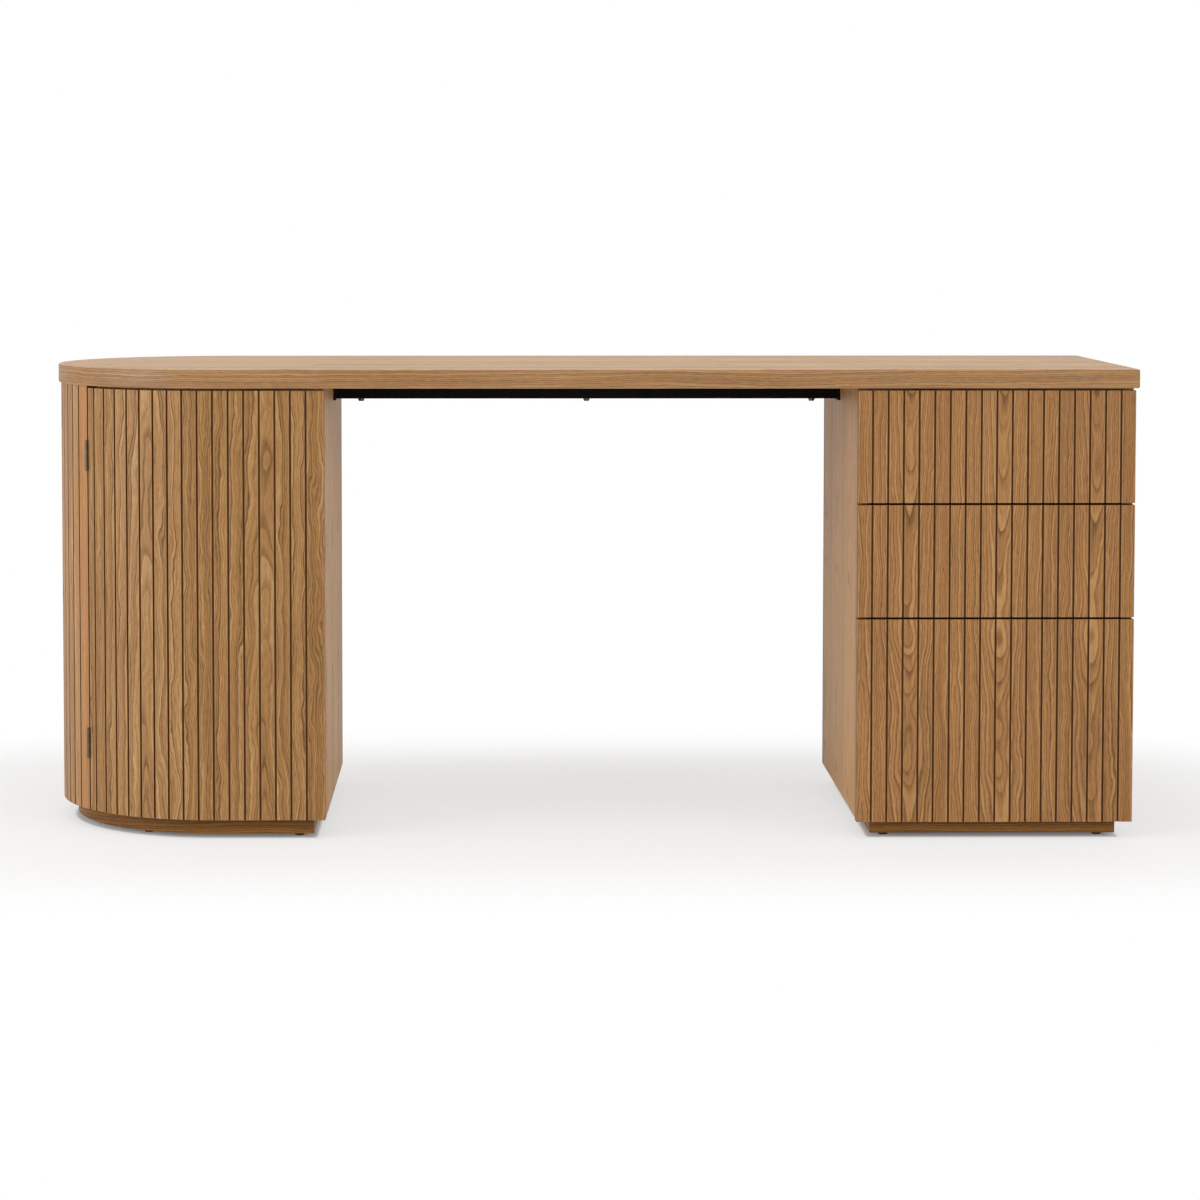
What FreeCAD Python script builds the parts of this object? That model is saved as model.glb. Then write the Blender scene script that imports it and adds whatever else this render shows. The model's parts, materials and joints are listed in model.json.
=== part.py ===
import FreeCAD, Part
import math
import operator
import os
from types import SimpleNamespace

import Sketcher

# Writing desk: a slab top with one half-round end on two fluted pedestals, a cupboard with
# a curved door on the left and three drawers on the right. The origin is on the floor below
# the middle of the desk. +X runs to the right as seen by the person at the desk, +Y to the
# back and +Z up. All lengths are in millimetres.

SIZES = {
    # whole desk
    "desk_length": 1772,
    "desk_depth": 567,
    "desk_height": 762,
    "top_thick": 31,
    "top_arris": 1.5,
    "top_overhang": 4,
    "end_overhang": 5,
    # pedestals
    "cupboard_width": 457,
    "drawer_unit_width": 447,
    "panel_thick": 18,
    "skin_thick": 20,
    "front_gap": 2,
    "reveal": 3.5,
    "fit": 0.3,
    # plinths and glides
    "plinth_height": 26,
    "plinth_inset": 24,
    "plinth_knee_inset": 19.5,
    "plinth_board": 36,
    "foot_height": 6,
    "foot_radius": 9,
    "foot_toe_radius": 7.5,
    "foot_inset": 25,
    "foot_round_angle": 30,
    # flutes
    "flute_pitch": 25,
    "curve_pitch": 25,
    "flute_width": 3,
    "flute_depth": 4,
    "front_edge_slat": 19,
    # curved door and its stile
    "door_thick": 18,
    "door_edge_slat": 28.2,
    "door_hinge_slat": 12,
    "stile_width": 26.5,
    "hinge_angle": 50.3,
    "hinge_gap": 3.2,
    # butt hinges
    "hinge_length": 50,
    "hinge_end_inset": 111,
    "knuckle_length": 26,
    "knuckle_gap": 0.3,
    "barrel_radius": 2.75,
    "barrel_clear": 0.22,
    "leaf_thick": 1.3,
    "leaf_width": 15,
    "hinge_pin_radius": 1.4,
    "running_play": 0.05,
    "hinge_screw_radius": 1.5,
    "hinge_screw_head": 2.7,
    "hinge_screw_length": 13,
    "hinge_screw_spread": 32,
    # shelf
    "shelf_thick": 18,
    "shelf_height": 372,
    "shelf_set_back": 22,
    "shelf_clear": 1.5,
    "shelf_pin_radius": 2.5,
    "shelf_pin_reach": 10,
    "shelf_pin_depth": 9,
    "shelf_pin_spread": 240,
    # push latch
    "latch_length": 60,
    "latch_width": 14,
    "latch_height": 14,
    "latch_side_inset": 30,
    "latch_set_back": 3,
    "plunger_radius": 4,
    "plunger_hold": 30,
    "plunger_travel": 3,
    "strike_thick": 1.5,
    "strike_width": 20,
    "strike_height": 12,
    # fixings
    "hole_play": 0.1,
    "bolt_radius": 3,
    "bolt_head_radius": 6,
    "bolt_head_height": 4.5,
    "bolt_bite": 20,
    "bolt_side_inset": 60,
    "bolt_spread": 330,
    "bolt_round_inset": 129.2,
    "bolt_round_spread": 200,
    "dowel_radius": 4,
    "dowel_in_side": 12,
    "dowel_in_end": 18,
    "dowel_spread": 400,
    # steel beam
    "beam_height": 32,
    "beam_width": 30,
    "beam_wall": 2,
    "beam_front": 20,
    "beam_bolt_inset": 46,
    "end_plate_thick": 4,
    "end_plate_width": 64,
    "end_plate_drop": 2,
    "plate_screw_spread": 48,
    "plate_screw_radius": 2,
    "plate_screw_head": 4,
    "plate_screw_head_height": 2,
    "plate_screw_bite": 13,
    # drawers
    "upper_front_height": 181.5,
    "front_drop": 4,
    "box_board": 12,
    "box_back_clear": 69,
    "box_lift": 16,
    "box_floor_clear": 12,
    "box_head": 45,
    "bottom_thick": 6,
    "bottom_lift": 10,
    "bottom_groove": 6,
    "front_screw_radius": 2,
    "front_screw_head": 4,
    "front_screw_head_height": 2.2,
    "front_screw_bite": 10,
    "front_screw_inset": 50,
    "front_screw_edge": 32,
    # drawer slides
    "slide_thick": 12.7,
    "slide_height": 45,
    "slide_sheet": 1.2,
    "slide_track": 3,
    "slide_set_back": 6,
    "slide_short": 20,
}

HEAD_TOP_SHARE = 0.7
LEVEL_FACE_SHARE = 0.9
HALF_TURN = 180
THREE_QUARTER_TURN = 270

RIGHT = FreeCAD.Vector(1, 0, 0)
LEFT = FreeCAD.Vector(-1, 0, 0)
BACK = FreeCAD.Vector(0, 1, 0)
FRONT = FreeCAD.Vector(0, -1, 0)
UP = FreeCAD.Vector(0, 0, 1)
HERE = FreeCAD.Vector(0, 0, 0)

WORK = {"+": operator.add, "-": operator.sub, "*": operator.mul, "/": operator.truediv}

doc = FreeCAD.newDocument("writing_desk")
sheet = doc.addObject("Spreadsheet::Sheet", "Sizes")
for row, (alias, value) in enumerate(SIZES.items(), 1):
    sheet.set(f"A{row}", alias)
    sheet.set(f"B{row}", str(value))
    sheet.setAlias(f"B{row}", alias)
doc.recompute()


class Size:
    """A value worked out from the sheet, as an expression and as its present number."""

    def __init__(self, text, value):
        self.text = text
        self.value = value

    def __add__(self, other):
        return joined(self, "+", other)

    def __sub__(self, other):
        return joined(self, "-", other)

    def __rsub__(self, other):
        return joined(other, "-", self)

    def __mul__(self, other):
        return joined(self, "*", other)

    def __truediv__(self, other):
        return joined(self, "/", other)

    def __neg__(self):
        return Size(f"(-{self.text})", -self.value)


def as_size(value):
    """A plain number as a size."""
    return value if isinstance(value, Size) else Size(str(value), float(value))


def joined(first, sign, second):
    """Two sizes put together with one sign."""
    first = as_size(first)
    second = as_size(second)
    return Size(f"({first.text} {sign} {second.text})", WORK[sign](first.value, second.value))


def root(size):
    """The square root of a size."""
    return Size(f"sqrt({size.text})", math.sqrt(size.value))


def whole(size):
    """The whole number next below a ratio of sizes."""
    return Size(f"floor({size.text})", math.floor(size.value))


def sine(angle):
    """The sine of an angle in degrees."""
    return Size(f"sin({angle.text})", math.sin(math.radians(angle.value)))


def cosine(angle):
    """The cosine of an angle in degrees."""
    return Size(f"cos({angle.text})", math.cos(math.radians(angle.value)))


def arc_degrees(arc, radius):
    """The angle in degrees that an arc length takes on a radius."""
    turn = arc / radius
    return Size(f"({turn.text} * {HALF_TURN} / pi)", math.degrees(turn.value))


def arc_length(angle, radius):
    """The length along a radius of an angle in degrees."""
    turn = angle * radius
    return Size(f"({turn.text} / {HALF_TURN} * pi)", math.radians(turn.value))


s = SimpleNamespace(**{alias: Size(f"Sizes.{alias}", float(sheet.get(alias))) for alias in SIZES})
origin = (as_size(0), as_size(0))
kept = []


def keep(label, item):
    """Names a finished piece and puts it on the list of pieces to write."""
    item.Label = label
    kept.append(item)
    return item


def bind(item, sizes):
    """Ties properties of an object to sizes of the sheet."""
    for name, size in sizes.items():
        item.setExpression(name, as_size(size).text)


def put(item, x, y, z):
    """Ties the place of an object."""
    bind(item, {"Placement.Base.x": x, "Placement.Base.y": y, "Placement.Base.z": z})


def board(label, x, y, z):
    """A flat board between three pairs of planes."""
    item = doc.addObject("Part::Box", label)
    bind(item, {"Length": x[1] - x[0], "Width": y[1] - y[0], "Height": z[1] - z[0]})
    put(item, x[0], y[0], z[0])
    return item


def rod(at, way, radius, length):
    """A round rod that starts at a point and runs one way."""
    item = doc.addObject("Part::Cylinder", "rod")
    item.Placement = FreeCAD.Placement(HERE, FreeCAD.Rotation(UP, way))
    bind(item, {"Radius": radius, "Height": length})
    put(item, *at)
    return item


def taper(at, way, start_radius, end_radius, length):
    """A tapered round that starts at a point and runs one way."""
    item = doc.addObject("Part::Cone", "taper")
    item.Placement = FreeCAD.Placement(HERE, FreeCAD.Rotation(UP, way))
    bind(item, {"Radius1": start_radius, "Radius2": end_radius, "Height": length})
    put(item, *at)
    return item


def group(label, items):
    """Separate solids kept together."""
    item = doc.addObject("Part::Compound", label)
    item.Links = items
    return item


def fused(label, items):
    """Solids grown together into one."""
    item = doc.addObject("Part::MultiFuse", label)
    item.Shapes = items
    return item


def cut(label, base, tools):
    """A solid with tools cut away."""
    item = doc.addObject("Part::Cut", label)
    item.Base = base
    item.Tool = group(f"{label}_tools", tools)
    return item


def headed(at, way, radius, length, head_radius, head_height):
    """A bolt or screw with a tapered pan head; the seat of the head is at the point."""
    shank = rod(at, way, radius, length)
    head = taper(at, -way, head_radius, head_radius * HEAD_TOP_SHARE, head_height)
    return fused("headed", [shank, head])


def body(label):
    """An empty body that may hold several solids."""
    item = doc.addObject("PartDesign::Body", label)
    item.AllowCompound = True
    return item


def edge_of(start, end, arc):
    """A straight or round edge between two corners, with the numbers of its two ends."""
    here = FreeCAD.Vector(start[0].value, start[1].value, 0)
    there = FreeCAD.Vector(end[0].value, end[1].value, 0)
    if arc is None:
        return Part.LineSegment(here, there), 1, 2
    middle, turn = arc
    centre = FreeCAD.Vector(middle[0].value, middle[1].value, 0)
    first, last = (here, there) if turn > 0 else (there, here)
    from_angle = math.atan2(first.y - centre.y, first.x - centre.x)
    to_angle = math.atan2(last.y - centre.y, last.x - centre.x)
    circle = Part.Circle(centre, UP, (here - centre).Length)
    edge = Part.ArcOfCircle(circle, from_angle, to_angle)
    return (edge, 1, 2) if turn > 0 else (edge, 2, 1)


def fix(plan, axis, geometry, end, size):
    """Ties one coordinate of a point of a sketch."""
    size = as_size(size)
    number = plan.addConstraint(Sketcher.Constraint(axis, -1, 1, geometry, end, size.value))
    plan.setExpression(f"Constraints[{number}]", size.text)


def draw(plan, loop):
    """Draws a closed loop of corners; a corner may carry the arc that runs on from it."""
    corners = [(as_size(corner[0]), as_size(corner[1])) for corner in loop]
    arcs = [corner[2] if len(corner) > 2 else None for corner in loop]
    count = len(loop)
    ends = []
    for index in range(count):
        edge, start, end = edge_of(corners[index], corners[(index + 1) % count], arcs[index])
        ends.append((plan.addGeometry(edge, False), start, end))
    for index in range(count):
        geometry, start = ends[index][:2]
        before = ends[index - 1]
        plan.addConstraint(Sketcher.Constraint("Coincident", before[0], before[2], geometry, start))
    for index in range(count):
        geometry, start = ends[index][:2]
        axes = {"DistanceX": corners[index][0], "DistanceY": corners[index][1]}
        if arcs[index - 1] is not None:
            middle = arcs[index - 1][0]
            across = abs(corners[index][0].value - middle[0].value)
            along = abs(corners[index][1].value - middle[1].value)
            axes.pop("DistanceY" if along > across else "DistanceX")
        for axis, size in axes.items():
            fix(plan, axis, geometry, start, size)
        if arcs[index] is not None:
            fix(plan, "DistanceX", geometry, 3, arcs[index][0][0])
            fix(plan, "DistanceY", geometry, 3, arcs[index][0][1])


def outline(owner, name, role, loops):
    """A sketch of closed loops on one origin plane of a body."""
    plan = owner.newObject("Sketcher::SketchObject", name)
    plane = next(item for item in owner.Origin.OriginFeatures if item.Role == role)
    plan.AttachmentSupport = [(plane, "")]
    plan.MapMode = "FlatFace"
    for loop in loops:
        draw(plan, loop)
    return plan


def pad(owner, plan, length, reverse=False):
    """A sketch drawn out to a length."""
    item = owner.newObject("PartDesign::Pad", f"{plan.Name}_pad")
    item.Profile = plan
    item.Reversed = reverse
    bind(item, {"Length": length})
    return item


def groove(owner, plan):
    """A sketch on the lower face cut right through upwards."""
    item = owner.newObject("PartDesign::Pocket", f"{plan.Name}_cut")
    item.Profile = plan
    item.Type = "ThroughAll"
    item.Reversed = True
    return item


def rectangle(low_x, low_y, high_x, high_y):
    """The four corners of an upright rectangle."""
    return [(low_x, low_y), (high_x, low_y), (high_x, high_y), (low_x, high_y)]


def straight_flutes(owner, name, first, outer, outward, count, reverse):
    """A row of upright grooves in a flat face."""
    half = s.flute_width / 2
    faces = [outer - s.flute_depth * outward, outer + s.flute_width * outward]
    low, high = faces if outward > 0 else faces[::-1]
    plan = outline(owner, name, "XY_Plane", [rectangle(first - half, low, first + half, high)])
    first_groove = groove(owner, plan)
    row = owner.newObject("PartDesign::LinearPattern", f"{name}_row")
    row.Originals = [first_groove]
    row.Direction = (plan, ["H_Axis"])
    row.Reversed = reverse
    bind(row, {"Length": s.flute_pitch * (count - 1), "Occurrences": count})
    owner.Tip = row


def curved_flutes(owner, name, first_angle, outward, count):
    """Upright grooves round the half-round face, counted from the front or the back tangent."""
    half = s.flute_width / 2
    low = pedestal_half - s.flute_depth
    high = pedestal_half + s.flute_width
    away = (-sine(first_angle), cosine(first_angle) * outward)
    across = (cosine(first_angle), sine(first_angle) * outward)
    corners = []
    for radius, side in ((low, half), (high, half), (high, -half), (low, -half)):
        corners.append((away[0] * radius + across[0] * side, away[1] * radius + across[1] * side))
    plan = outline(owner, name, "XY_Plane", [corners])
    first_groove = groove(owner, plan)
    ring = owner.newObject("PartDesign::PolarPattern", f"{name}_ring")
    ring.Originals = [first_groove]
    ring.Axis = (plan, ["N_Axis"])
    ring.Reversed = outward < 0
    bind(ring, {"Angle": curve_step * (count - 1), "Occurrences": count})
    owner.Tip = ring


def half_round(label, right, half, low, thick, set_back=0):
    """A flat board with one half-round end, seen from the middle of that end."""
    owner = body(label)
    front = half - set_back
    reach = root(half * half - front * front)
    loop = [(right, -front), (right, half), (0, half, (origin, 1)), (-reach, -front)]
    pad(owner, outline(owner, f"{label}_plan", "XY_Plane", [loop]), thick)
    put(owner, round_x, 0, low)
    return owner


# Main planes of the desk.
desk_left = -s.desk_length / 2
desk_right = s.desk_length / 2
desk_half = s.desk_depth / 2
top_low = s.desk_height - s.top_thick
round_x = desk_left + desk_half
pedestal_half = desk_half - s.top_overhang
base_z = s.foot_height + s.plinth_height
cupboard_right = desk_left + s.top_overhang + s.cupboard_width
unit_right = desk_right - s.end_overhang
unit_left = unit_right - s.drawer_unit_width
fronts_high = top_low - s.reveal

cupboard_side = (cupboard_right - s.panel_thick, cupboard_right)
door_inner = pedestal_half - s.door_thick
shell_inner = door_inner - s.front_gap
core_half = shell_inner - s.fit
floor_z = (base_z, base_z + s.panel_thick)
roof_z = (top_low - s.panel_thick, top_low)
unit_inner = (unit_left + s.panel_thick, unit_right - s.panel_thick)
unit_half = pedestal_half - s.skin_thick
unit_y = (s.front_gap - unit_half, unit_half)


# Bolts from the pedestal roofs into the desktop, and bolts through the beam.
def top_bolt_places():
    """Where the bolts leave the undersides of the two roofs."""
    places = []
    round_bolt_x = round_x - core_half + s.bolt_round_inset
    for side in (1, -1):
        for x in (unit_inner[0] + s.bolt_side_inset, unit_inner[1] - s.bolt_side_inset):
            places.append((x, s.bolt_spread / 2 * side, roof_z[0]))
        places.append((cupboard_side[0] - s.bolt_side_inset, s.bolt_spread / 2 * side, roof_z[0]))
        places.append((round_bolt_x, s.bolt_round_spread / 2 * side, roof_z[0]))
    return places


beam_low = top_low - s.beam_height
beam_middle = s.beam_front + s.beam_width / 2
knee_middle = (cupboard_right + unit_left) / 2
beam_bolt_places = [
    (cupboard_right + s.beam_bolt_inset, beam_middle, beam_low),
    (knee_middle, beam_middle, beam_low),
    (unit_left - s.beam_bolt_inset, beam_middle, beam_low),
]
bolt_hole = s.bolt_radius + s.hole_play
bite_hole = s.bolt_bite + s.fit


def bolts(label, places, seat_thick):
    """Bolts with their heads below, and the holes that they need in the desktop."""
    length = seat_thick + s.bolt_bite
    items = []
    for place in places:
        items.append(headed(place, UP, s.bolt_radius, length, s.bolt_head_radius, s.bolt_head_height))
    keep(label, group(label, items))
    return [rod((x, y, top_low), UP, bolt_hole, bite_hole) for x, y, z in places]


desktop_holes = bolts("top_fixing_bolts", top_bolt_places(), s.panel_thick)
desktop_holes += bolts("beam_bolts", beam_bolt_places, s.beam_height)

# Desktop: a slab with eased edges, drilled from below.
slab = body("desktop_slab")
slab_right = desk_right - round_x
slab_loop = [
    (slab_right, -desk_half),
    (slab_right, desk_half),
    (0, desk_half, (origin, 1)),
    (0, -desk_half),
]
slab_pad = pad(slab, outline(slab, "slab_plan", "XY_Plane", [slab_loop]), s.top_thick)
put(slab, round_x, 0, top_low)
doc.recompute()
flat_faces = []
for number, face in enumerate(slab_pad.Shape.Faces, 1):
    if abs(face.normalAt(0, 0).z) > LEVEL_FACE_SHARE:
        flat_faces.append(f"Face{number}")
arris = slab.newObject("PartDesign::Fillet", "slab_arris")
arris.Base = (slab_pad, flat_faces)
bind(arris, {"Radius": s.top_arris})
slab.Tip = arris
keep("desktop", cut("desktop", slab, desktop_holes))

# Steel beam: a square tube with a plate at each end, screwed to the pedestal sides.
tube = body("beam_tube")
tube_loops = [
    rectangle(0, 0, s.beam_width, s.beam_height),
    rectangle(s.beam_wall, s.beam_wall, s.beam_width - s.beam_wall, s.beam_height - s.beam_wall),
]
tube_length = unit_left - cupboard_right - s.end_plate_thick * 2
pad(tube, outline(tube, "tube_section", "YZ_Plane", tube_loops), tube_length)
put(tube, cupboard_right + s.end_plate_thick, s.beam_front, beam_low)
tube_holes = [rod(place, UP, bolt_hole, s.beam_height) for place in beam_bolt_places]
keep("stiffener_beam", cut("stiffener_beam", tube, tube_holes))

plate_y = (beam_middle - s.end_plate_width / 2, beam_middle + s.end_plate_width / 2)
plate_z = (beam_low - s.end_plate_drop, top_low)
plate_middle_z = (plate_z[0] + plate_z[1]) / 2
plate_ends = (
    (cupboard_right, cupboard_right + s.end_plate_thick, LEFT),
    (unit_left - s.end_plate_thick, unit_left, RIGHT),
)
plate_hole = s.plate_screw_radius + s.hole_play
plates = []
plate_screws = []
side_screw_holes = {}
for low_x, high_x, way in plate_ends:
    seat_x, wall_x = (high_x, low_x) if way == LEFT else (low_x, high_x)
    holes = []
    side_screw_holes[way.x] = []
    for side in (1, -1):
        y = beam_middle + s.plate_screw_spread / 2 * side
        holes.append(rod((seat_x, y, plate_middle_z), way, plate_hole, s.end_plate_thick))
        wall_hole = rod((wall_x, y, plate_middle_z), way, plate_hole, s.plate_screw_bite + s.fit)
        side_screw_holes[way.x].append(wall_hole)
        reach = s.end_plate_thick + s.plate_screw_bite
        plate_screws.append(headed((seat_x, y, plate_middle_z), way, s.plate_screw_radius, reach,
                                   s.plate_screw_head, s.plate_screw_head_height))
    plates.append(cut("end_plate", board("plate_blank", (low_x, high_x), plate_y, plate_z), holes))
keep("beam_end_plates", group("beam_end_plates", plates))
keep("end_plate_screws", group("end_plate_screws", plate_screws))

# Dowels between the sides and the floors and roofs of both pedestals.
dowel_hole = s.dowel_radius + s.hole_play
dowels = []


def dowel_row(side_x, way):
    """Dowels along one side; returns the holes in the side, the floor and the roof."""
    holes = {"side": [], "floor": [], "roof": []}
    into_end = FreeCAD.Vector(-way.x, 0, 0)
    for board_name, level in (("floor", floor_z), ("roof", roof_z)):
        z = (level[0] + level[1]) / 2
        for side in (1, -1):
            y = s.dowel_spread / 2 * side
            start = side_x - s.dowel_in_end * way.x
            dowels.append(rod((start, y, z), way, s.dowel_radius, s.dowel_in_end + s.dowel_in_side))
            holes["side"].append(rod((side_x, y, z), way, dowel_hole, s.dowel_in_side + s.fit))
            holes[board_name].append(rod((side_x, y, z), into_end, dowel_hole, s.dowel_in_end + s.fit))
    return holes


cupboard_dowels = dowel_row(cupboard_side[0], RIGHT)
unit_left_dowels = dowel_row(unit_inner[0], LEFT)
unit_right_dowels = dowel_row(unit_inner[1], RIGHT)
keep("dowels", group("dowels", dowels))

roof_holes = {"unit": [], "cupboard": []}
for x, y, z in top_bolt_places():
    owner_name = "unit" if x.value > 0 else "cupboard"
    roof_holes[owner_name].append(rod((x, y, z), UP, bolt_hole, s.panel_thick))

# Shelf pins: two in the flat inner side, two in the curved shell, all level.
pin_z = s.shelf_height - s.shelf_pin_radius - s.running_play
pin_hole = s.shelf_pin_radius + s.hole_play
pin_half = s.shelf_pin_spread / 2
pin_wall = round_x - root(shell_inner * shell_inner - pin_half * pin_half)
shelf_pins = []
pin_side_holes = []
pin_shell_holes = []
pin_length = s.shelf_pin_reach + s.shelf_pin_depth
for side in (1, -1):
    y = pin_half * side
    side_tip = (cupboard_side[0] - s.shelf_pin_reach, y, pin_z)
    shelf_pins.append(rod(side_tip, RIGHT, s.shelf_pin_radius, pin_length))
    pin_side_holes.append(rod((cupboard_side[0], y, pin_z), RIGHT, pin_hole, s.shelf_pin_depth + s.fit))
    shell_tip = (pin_wall + s.shelf_pin_reach, y, pin_z)
    shelf_pins.append(rod(shell_tip, LEFT, s.shelf_pin_radius, pin_length))
    pin_shell_holes.append(rod(shell_tip, LEFT, pin_hole, pin_length + s.fit))
keep("shelf_pins", group("shelf_pins", shelf_pins))

# Cupboard: flat inner side, floor, roof and shelf inside the curved shell.
inner_side = board("cupboard_side_blank", cupboard_side, (-core_half, core_half), (base_z, top_low))
keep("cupboard_inner_side", cut("cupboard_inner_side", inner_side,
                                cupboard_dowels["side"] + pin_side_holes + side_screw_holes[LEFT.x]))
core_right = cupboard_side[0] - round_x
floor_board = half_round("cupboard_floor_blank", core_right, core_half, floor_z[0], s.panel_thick)
keep("cupboard_floor", cut("cupboard_floor", floor_board, cupboard_dowels["floor"]))
roof_board = half_round("cupboard_roof_blank", core_right, core_half, roof_z[0], s.panel_thick)
keep("cupboard_roof", cut("cupboard_roof", roof_board, cupboard_dowels["roof"] + roof_holes["cupboard"]))
shelf = half_round("cupboard_shelf_board", core_right - s.shelf_clear, core_half - s.shelf_clear,
                   s.shelf_height, s.shelf_thick, s.shelf_set_back)
keep("cupboard_shelf", shelf)

# Lines of the flutes on the round pedestal: flat part first, then round the curve.
flat_length = cupboard_right - round_x
first_flute = s.door_edge_slat + s.flute_width / 2
flat_count = whole((flat_length - first_flute) / s.flute_pitch) + 1
first_arc = first_flute + s.flute_pitch * flat_count - flat_length
first_turn = arc_degrees(first_arc, pedestal_half)
curve_step = arc_degrees(s.curve_pitch, pedestal_half)
half_gap = s.hinge_gap / 2
door_arc = arc_length(s.hinge_angle, pedestal_half) - half_gap
shell_arc = arc_length(HALF_TURN - s.hinge_angle, pedestal_half) - half_gap
door_count = whole((door_arc - first_arc - s.door_hinge_slat) / s.curve_pitch) + 1
shell_last_arc = shell_arc - s.stile_width - s.flute_width / 2
shell_count = whole((shell_last_arc - first_arc) / s.curve_pitch) + 1
shell_first_turn = arc_degrees(shell_last_arc - s.curve_pitch * (shell_count - 1), pedestal_half)


def joint_corner(radius, side):
    """Where the plane of the hinge joint, moved by half its gap, meets a radius."""
    along = root(radius * radius - half_gap * half_gap)
    x = cosine(s.hinge_angle) * half_gap * side - sine(s.hinge_angle) * along
    y = -(sine(s.hinge_angle) * half_gap * side) - cosine(s.hinge_angle) * along
    return x, y


# Butt hinges stand in the joint; seen from the pin, +X points out of the desk and +Y to the door.
barrel_room = s.barrel_radius + s.barrel_clear
barrel_stand = root(barrel_room * barrel_room - half_gap * half_gap)
hinge_out = pedestal_half + barrel_stand
hinge_x = round_x - sine(s.hinge_angle) * hinge_out
hinge_y = -(cosine(s.hinge_angle) * hinge_out)
hinge_levels = (fronts_high - s.hinge_end_inset, base_z + s.hinge_end_inset)


def at_hinge(item, level):
    """Puts an object drawn round the pin at one of the two hinges."""
    put(item, hinge_x, hinge_y, level)
    bind(item, {"Placement.Rotation.Angle": THREE_QUARTER_TURN - s.hinge_angle})
    return item


middle_half = s.knuckle_length / 2
outer_start = middle_half + s.knuckle_gap
hinge_half = s.hinge_length / 2
screw_depth = barrel_stand + s.door_thick / 2
leaf_reach = barrel_stand + s.leaf_width
middle_spans = [(-middle_half, middle_half)]
outer_spans = [(-hinge_half, -outer_start), (outer_start, hinge_half)]
neck = -(s.barrel_radius + s.knuckle_gap)


def leaf_screw_places(side):
    """Where the screws enter a leaf on the door side or on the frame side."""
    face = (half_gap - s.leaf_thick) * side
    return [(-screw_depth, face, s.hinge_screw_spread / 2 * end) for end in (1, -1)]


def leaf(side, spans):
    """One hinge leaf with its knuckles, on the door side or on the frame side."""
    faces = [half_gap - s.leaf_thick, half_gap] if side > 0 else [-half_gap, s.leaf_thick - half_gap]
    pieces = [board("leaf_plate", (-leaf_reach, neck), faces, (-hinge_half, hinge_half))]
    for low, high in spans:
        pieces.append(board("leaf_neck", (neck, as_size(0)), faces, (low, high)))
        pieces.append(rod((0, 0, low), UP, s.barrel_radius, high - low))
    way = BACK if side > 0 else FRONT
    tools = [rod((0, 0, -hinge_half), UP, s.hinge_pin_radius + s.running_play, s.hinge_length)]
    for place in leaf_screw_places(side):
        tools.append(taper(place, way, s.hinge_screw_head + s.hole_play,
                           s.hinge_screw_radius + s.hole_play, s.leaf_thick))
    return cut("leaf", fused("leaf_blank", pieces), tools)


def leaf_screw(place, way):
    """A countersunk screw of a hinge leaf."""
    head = taper(place, way, s.hinge_screw_head, s.hinge_screw_radius, s.leaf_thick)
    shank = rod(place, way, s.hinge_screw_radius, s.leaf_thick + s.hinge_screw_length)
    return fused("leaf_screw", [head, shank])


def leaf_screw_hole(place, way):
    """The hole of a leaf screw in the edge of the door or the shell."""
    length = s.leaf_thick + s.hinge_screw_length + s.fit
    return rod(place, way, s.hinge_screw_radius + s.hole_play, length)


hinge_pieces = {"frame_leaves": [], "door_leaves": [], "frame_screws": [], "door_screws": [], "pins": []}
frame_hinge_holes = []
door_hinge_holes = []
for level in hinge_levels:
    hinge_pieces["frame_leaves"].append(at_hinge(leaf(-1, outer_spans), level))
    hinge_pieces["door_leaves"].append(at_hinge(leaf(1, middle_spans), level))
    pin = rod((0, 0, -hinge_half), UP, s.hinge_pin_radius, s.hinge_length)
    hinge_pieces["pins"].append(at_hinge(group("pin", [pin]), level))
    for side, way, piece_name, hole_list in (
            (-1, FRONT, "frame_screws", frame_hinge_holes), (1, BACK, "door_screws", door_hinge_holes)):
        places = leaf_screw_places(side)
        screws = group("leaf_screws", [leaf_screw(place, way) for place in places])
        holes = group("leaf_screw_holes", [leaf_screw_hole(place, way) for place in places])
        hinge_pieces[piece_name].append(at_hinge(screws, level))
        hole_list.append(at_hinge(holes, level))
keep("hinge_frame_leaves", group("hinge_frame_leaves", hinge_pieces["frame_leaves"]))
keep("hinge_door_leaves", group("hinge_door_leaves", hinge_pieces["door_leaves"]))
keep("hinge_frame_screws", group("hinge_frame_screws", hinge_pieces["frame_screws"]))
keep("hinge_door_screws", group("hinge_door_screws", hinge_pieces["door_screws"]))
keep("hinge_pins", group("hinge_pins", hinge_pieces["pins"]))

# Fixed shell: from the stile at the hinges round the end and along the back.
shell = body("shell_blank")
shell_loop = [
    (flat_length, pedestal_half),
    (0, pedestal_half, (origin, 1)),
    joint_corner(pedestal_half, -1),
    (*joint_corner(shell_inner, -1), (origin, -1)),
    (0, shell_inner),
    (flat_length, shell_inner),
]
pad(shell, outline(shell, "shell_plan", "XY_Plane", [shell_loop]), top_low - base_z)
straight_flutes(shell, "shell_flat_flute", flat_length - first_flute, pedestal_half, 1, flat_count, True)
curved_flutes(shell, "shell_curved_flute", shell_first_turn, 1, shell_count)
put(shell, round_x, 0, base_z)
keep("cupboard_shell", cut("cupboard_shell", shell, pin_shell_holes + frame_hinge_holes))

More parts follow.
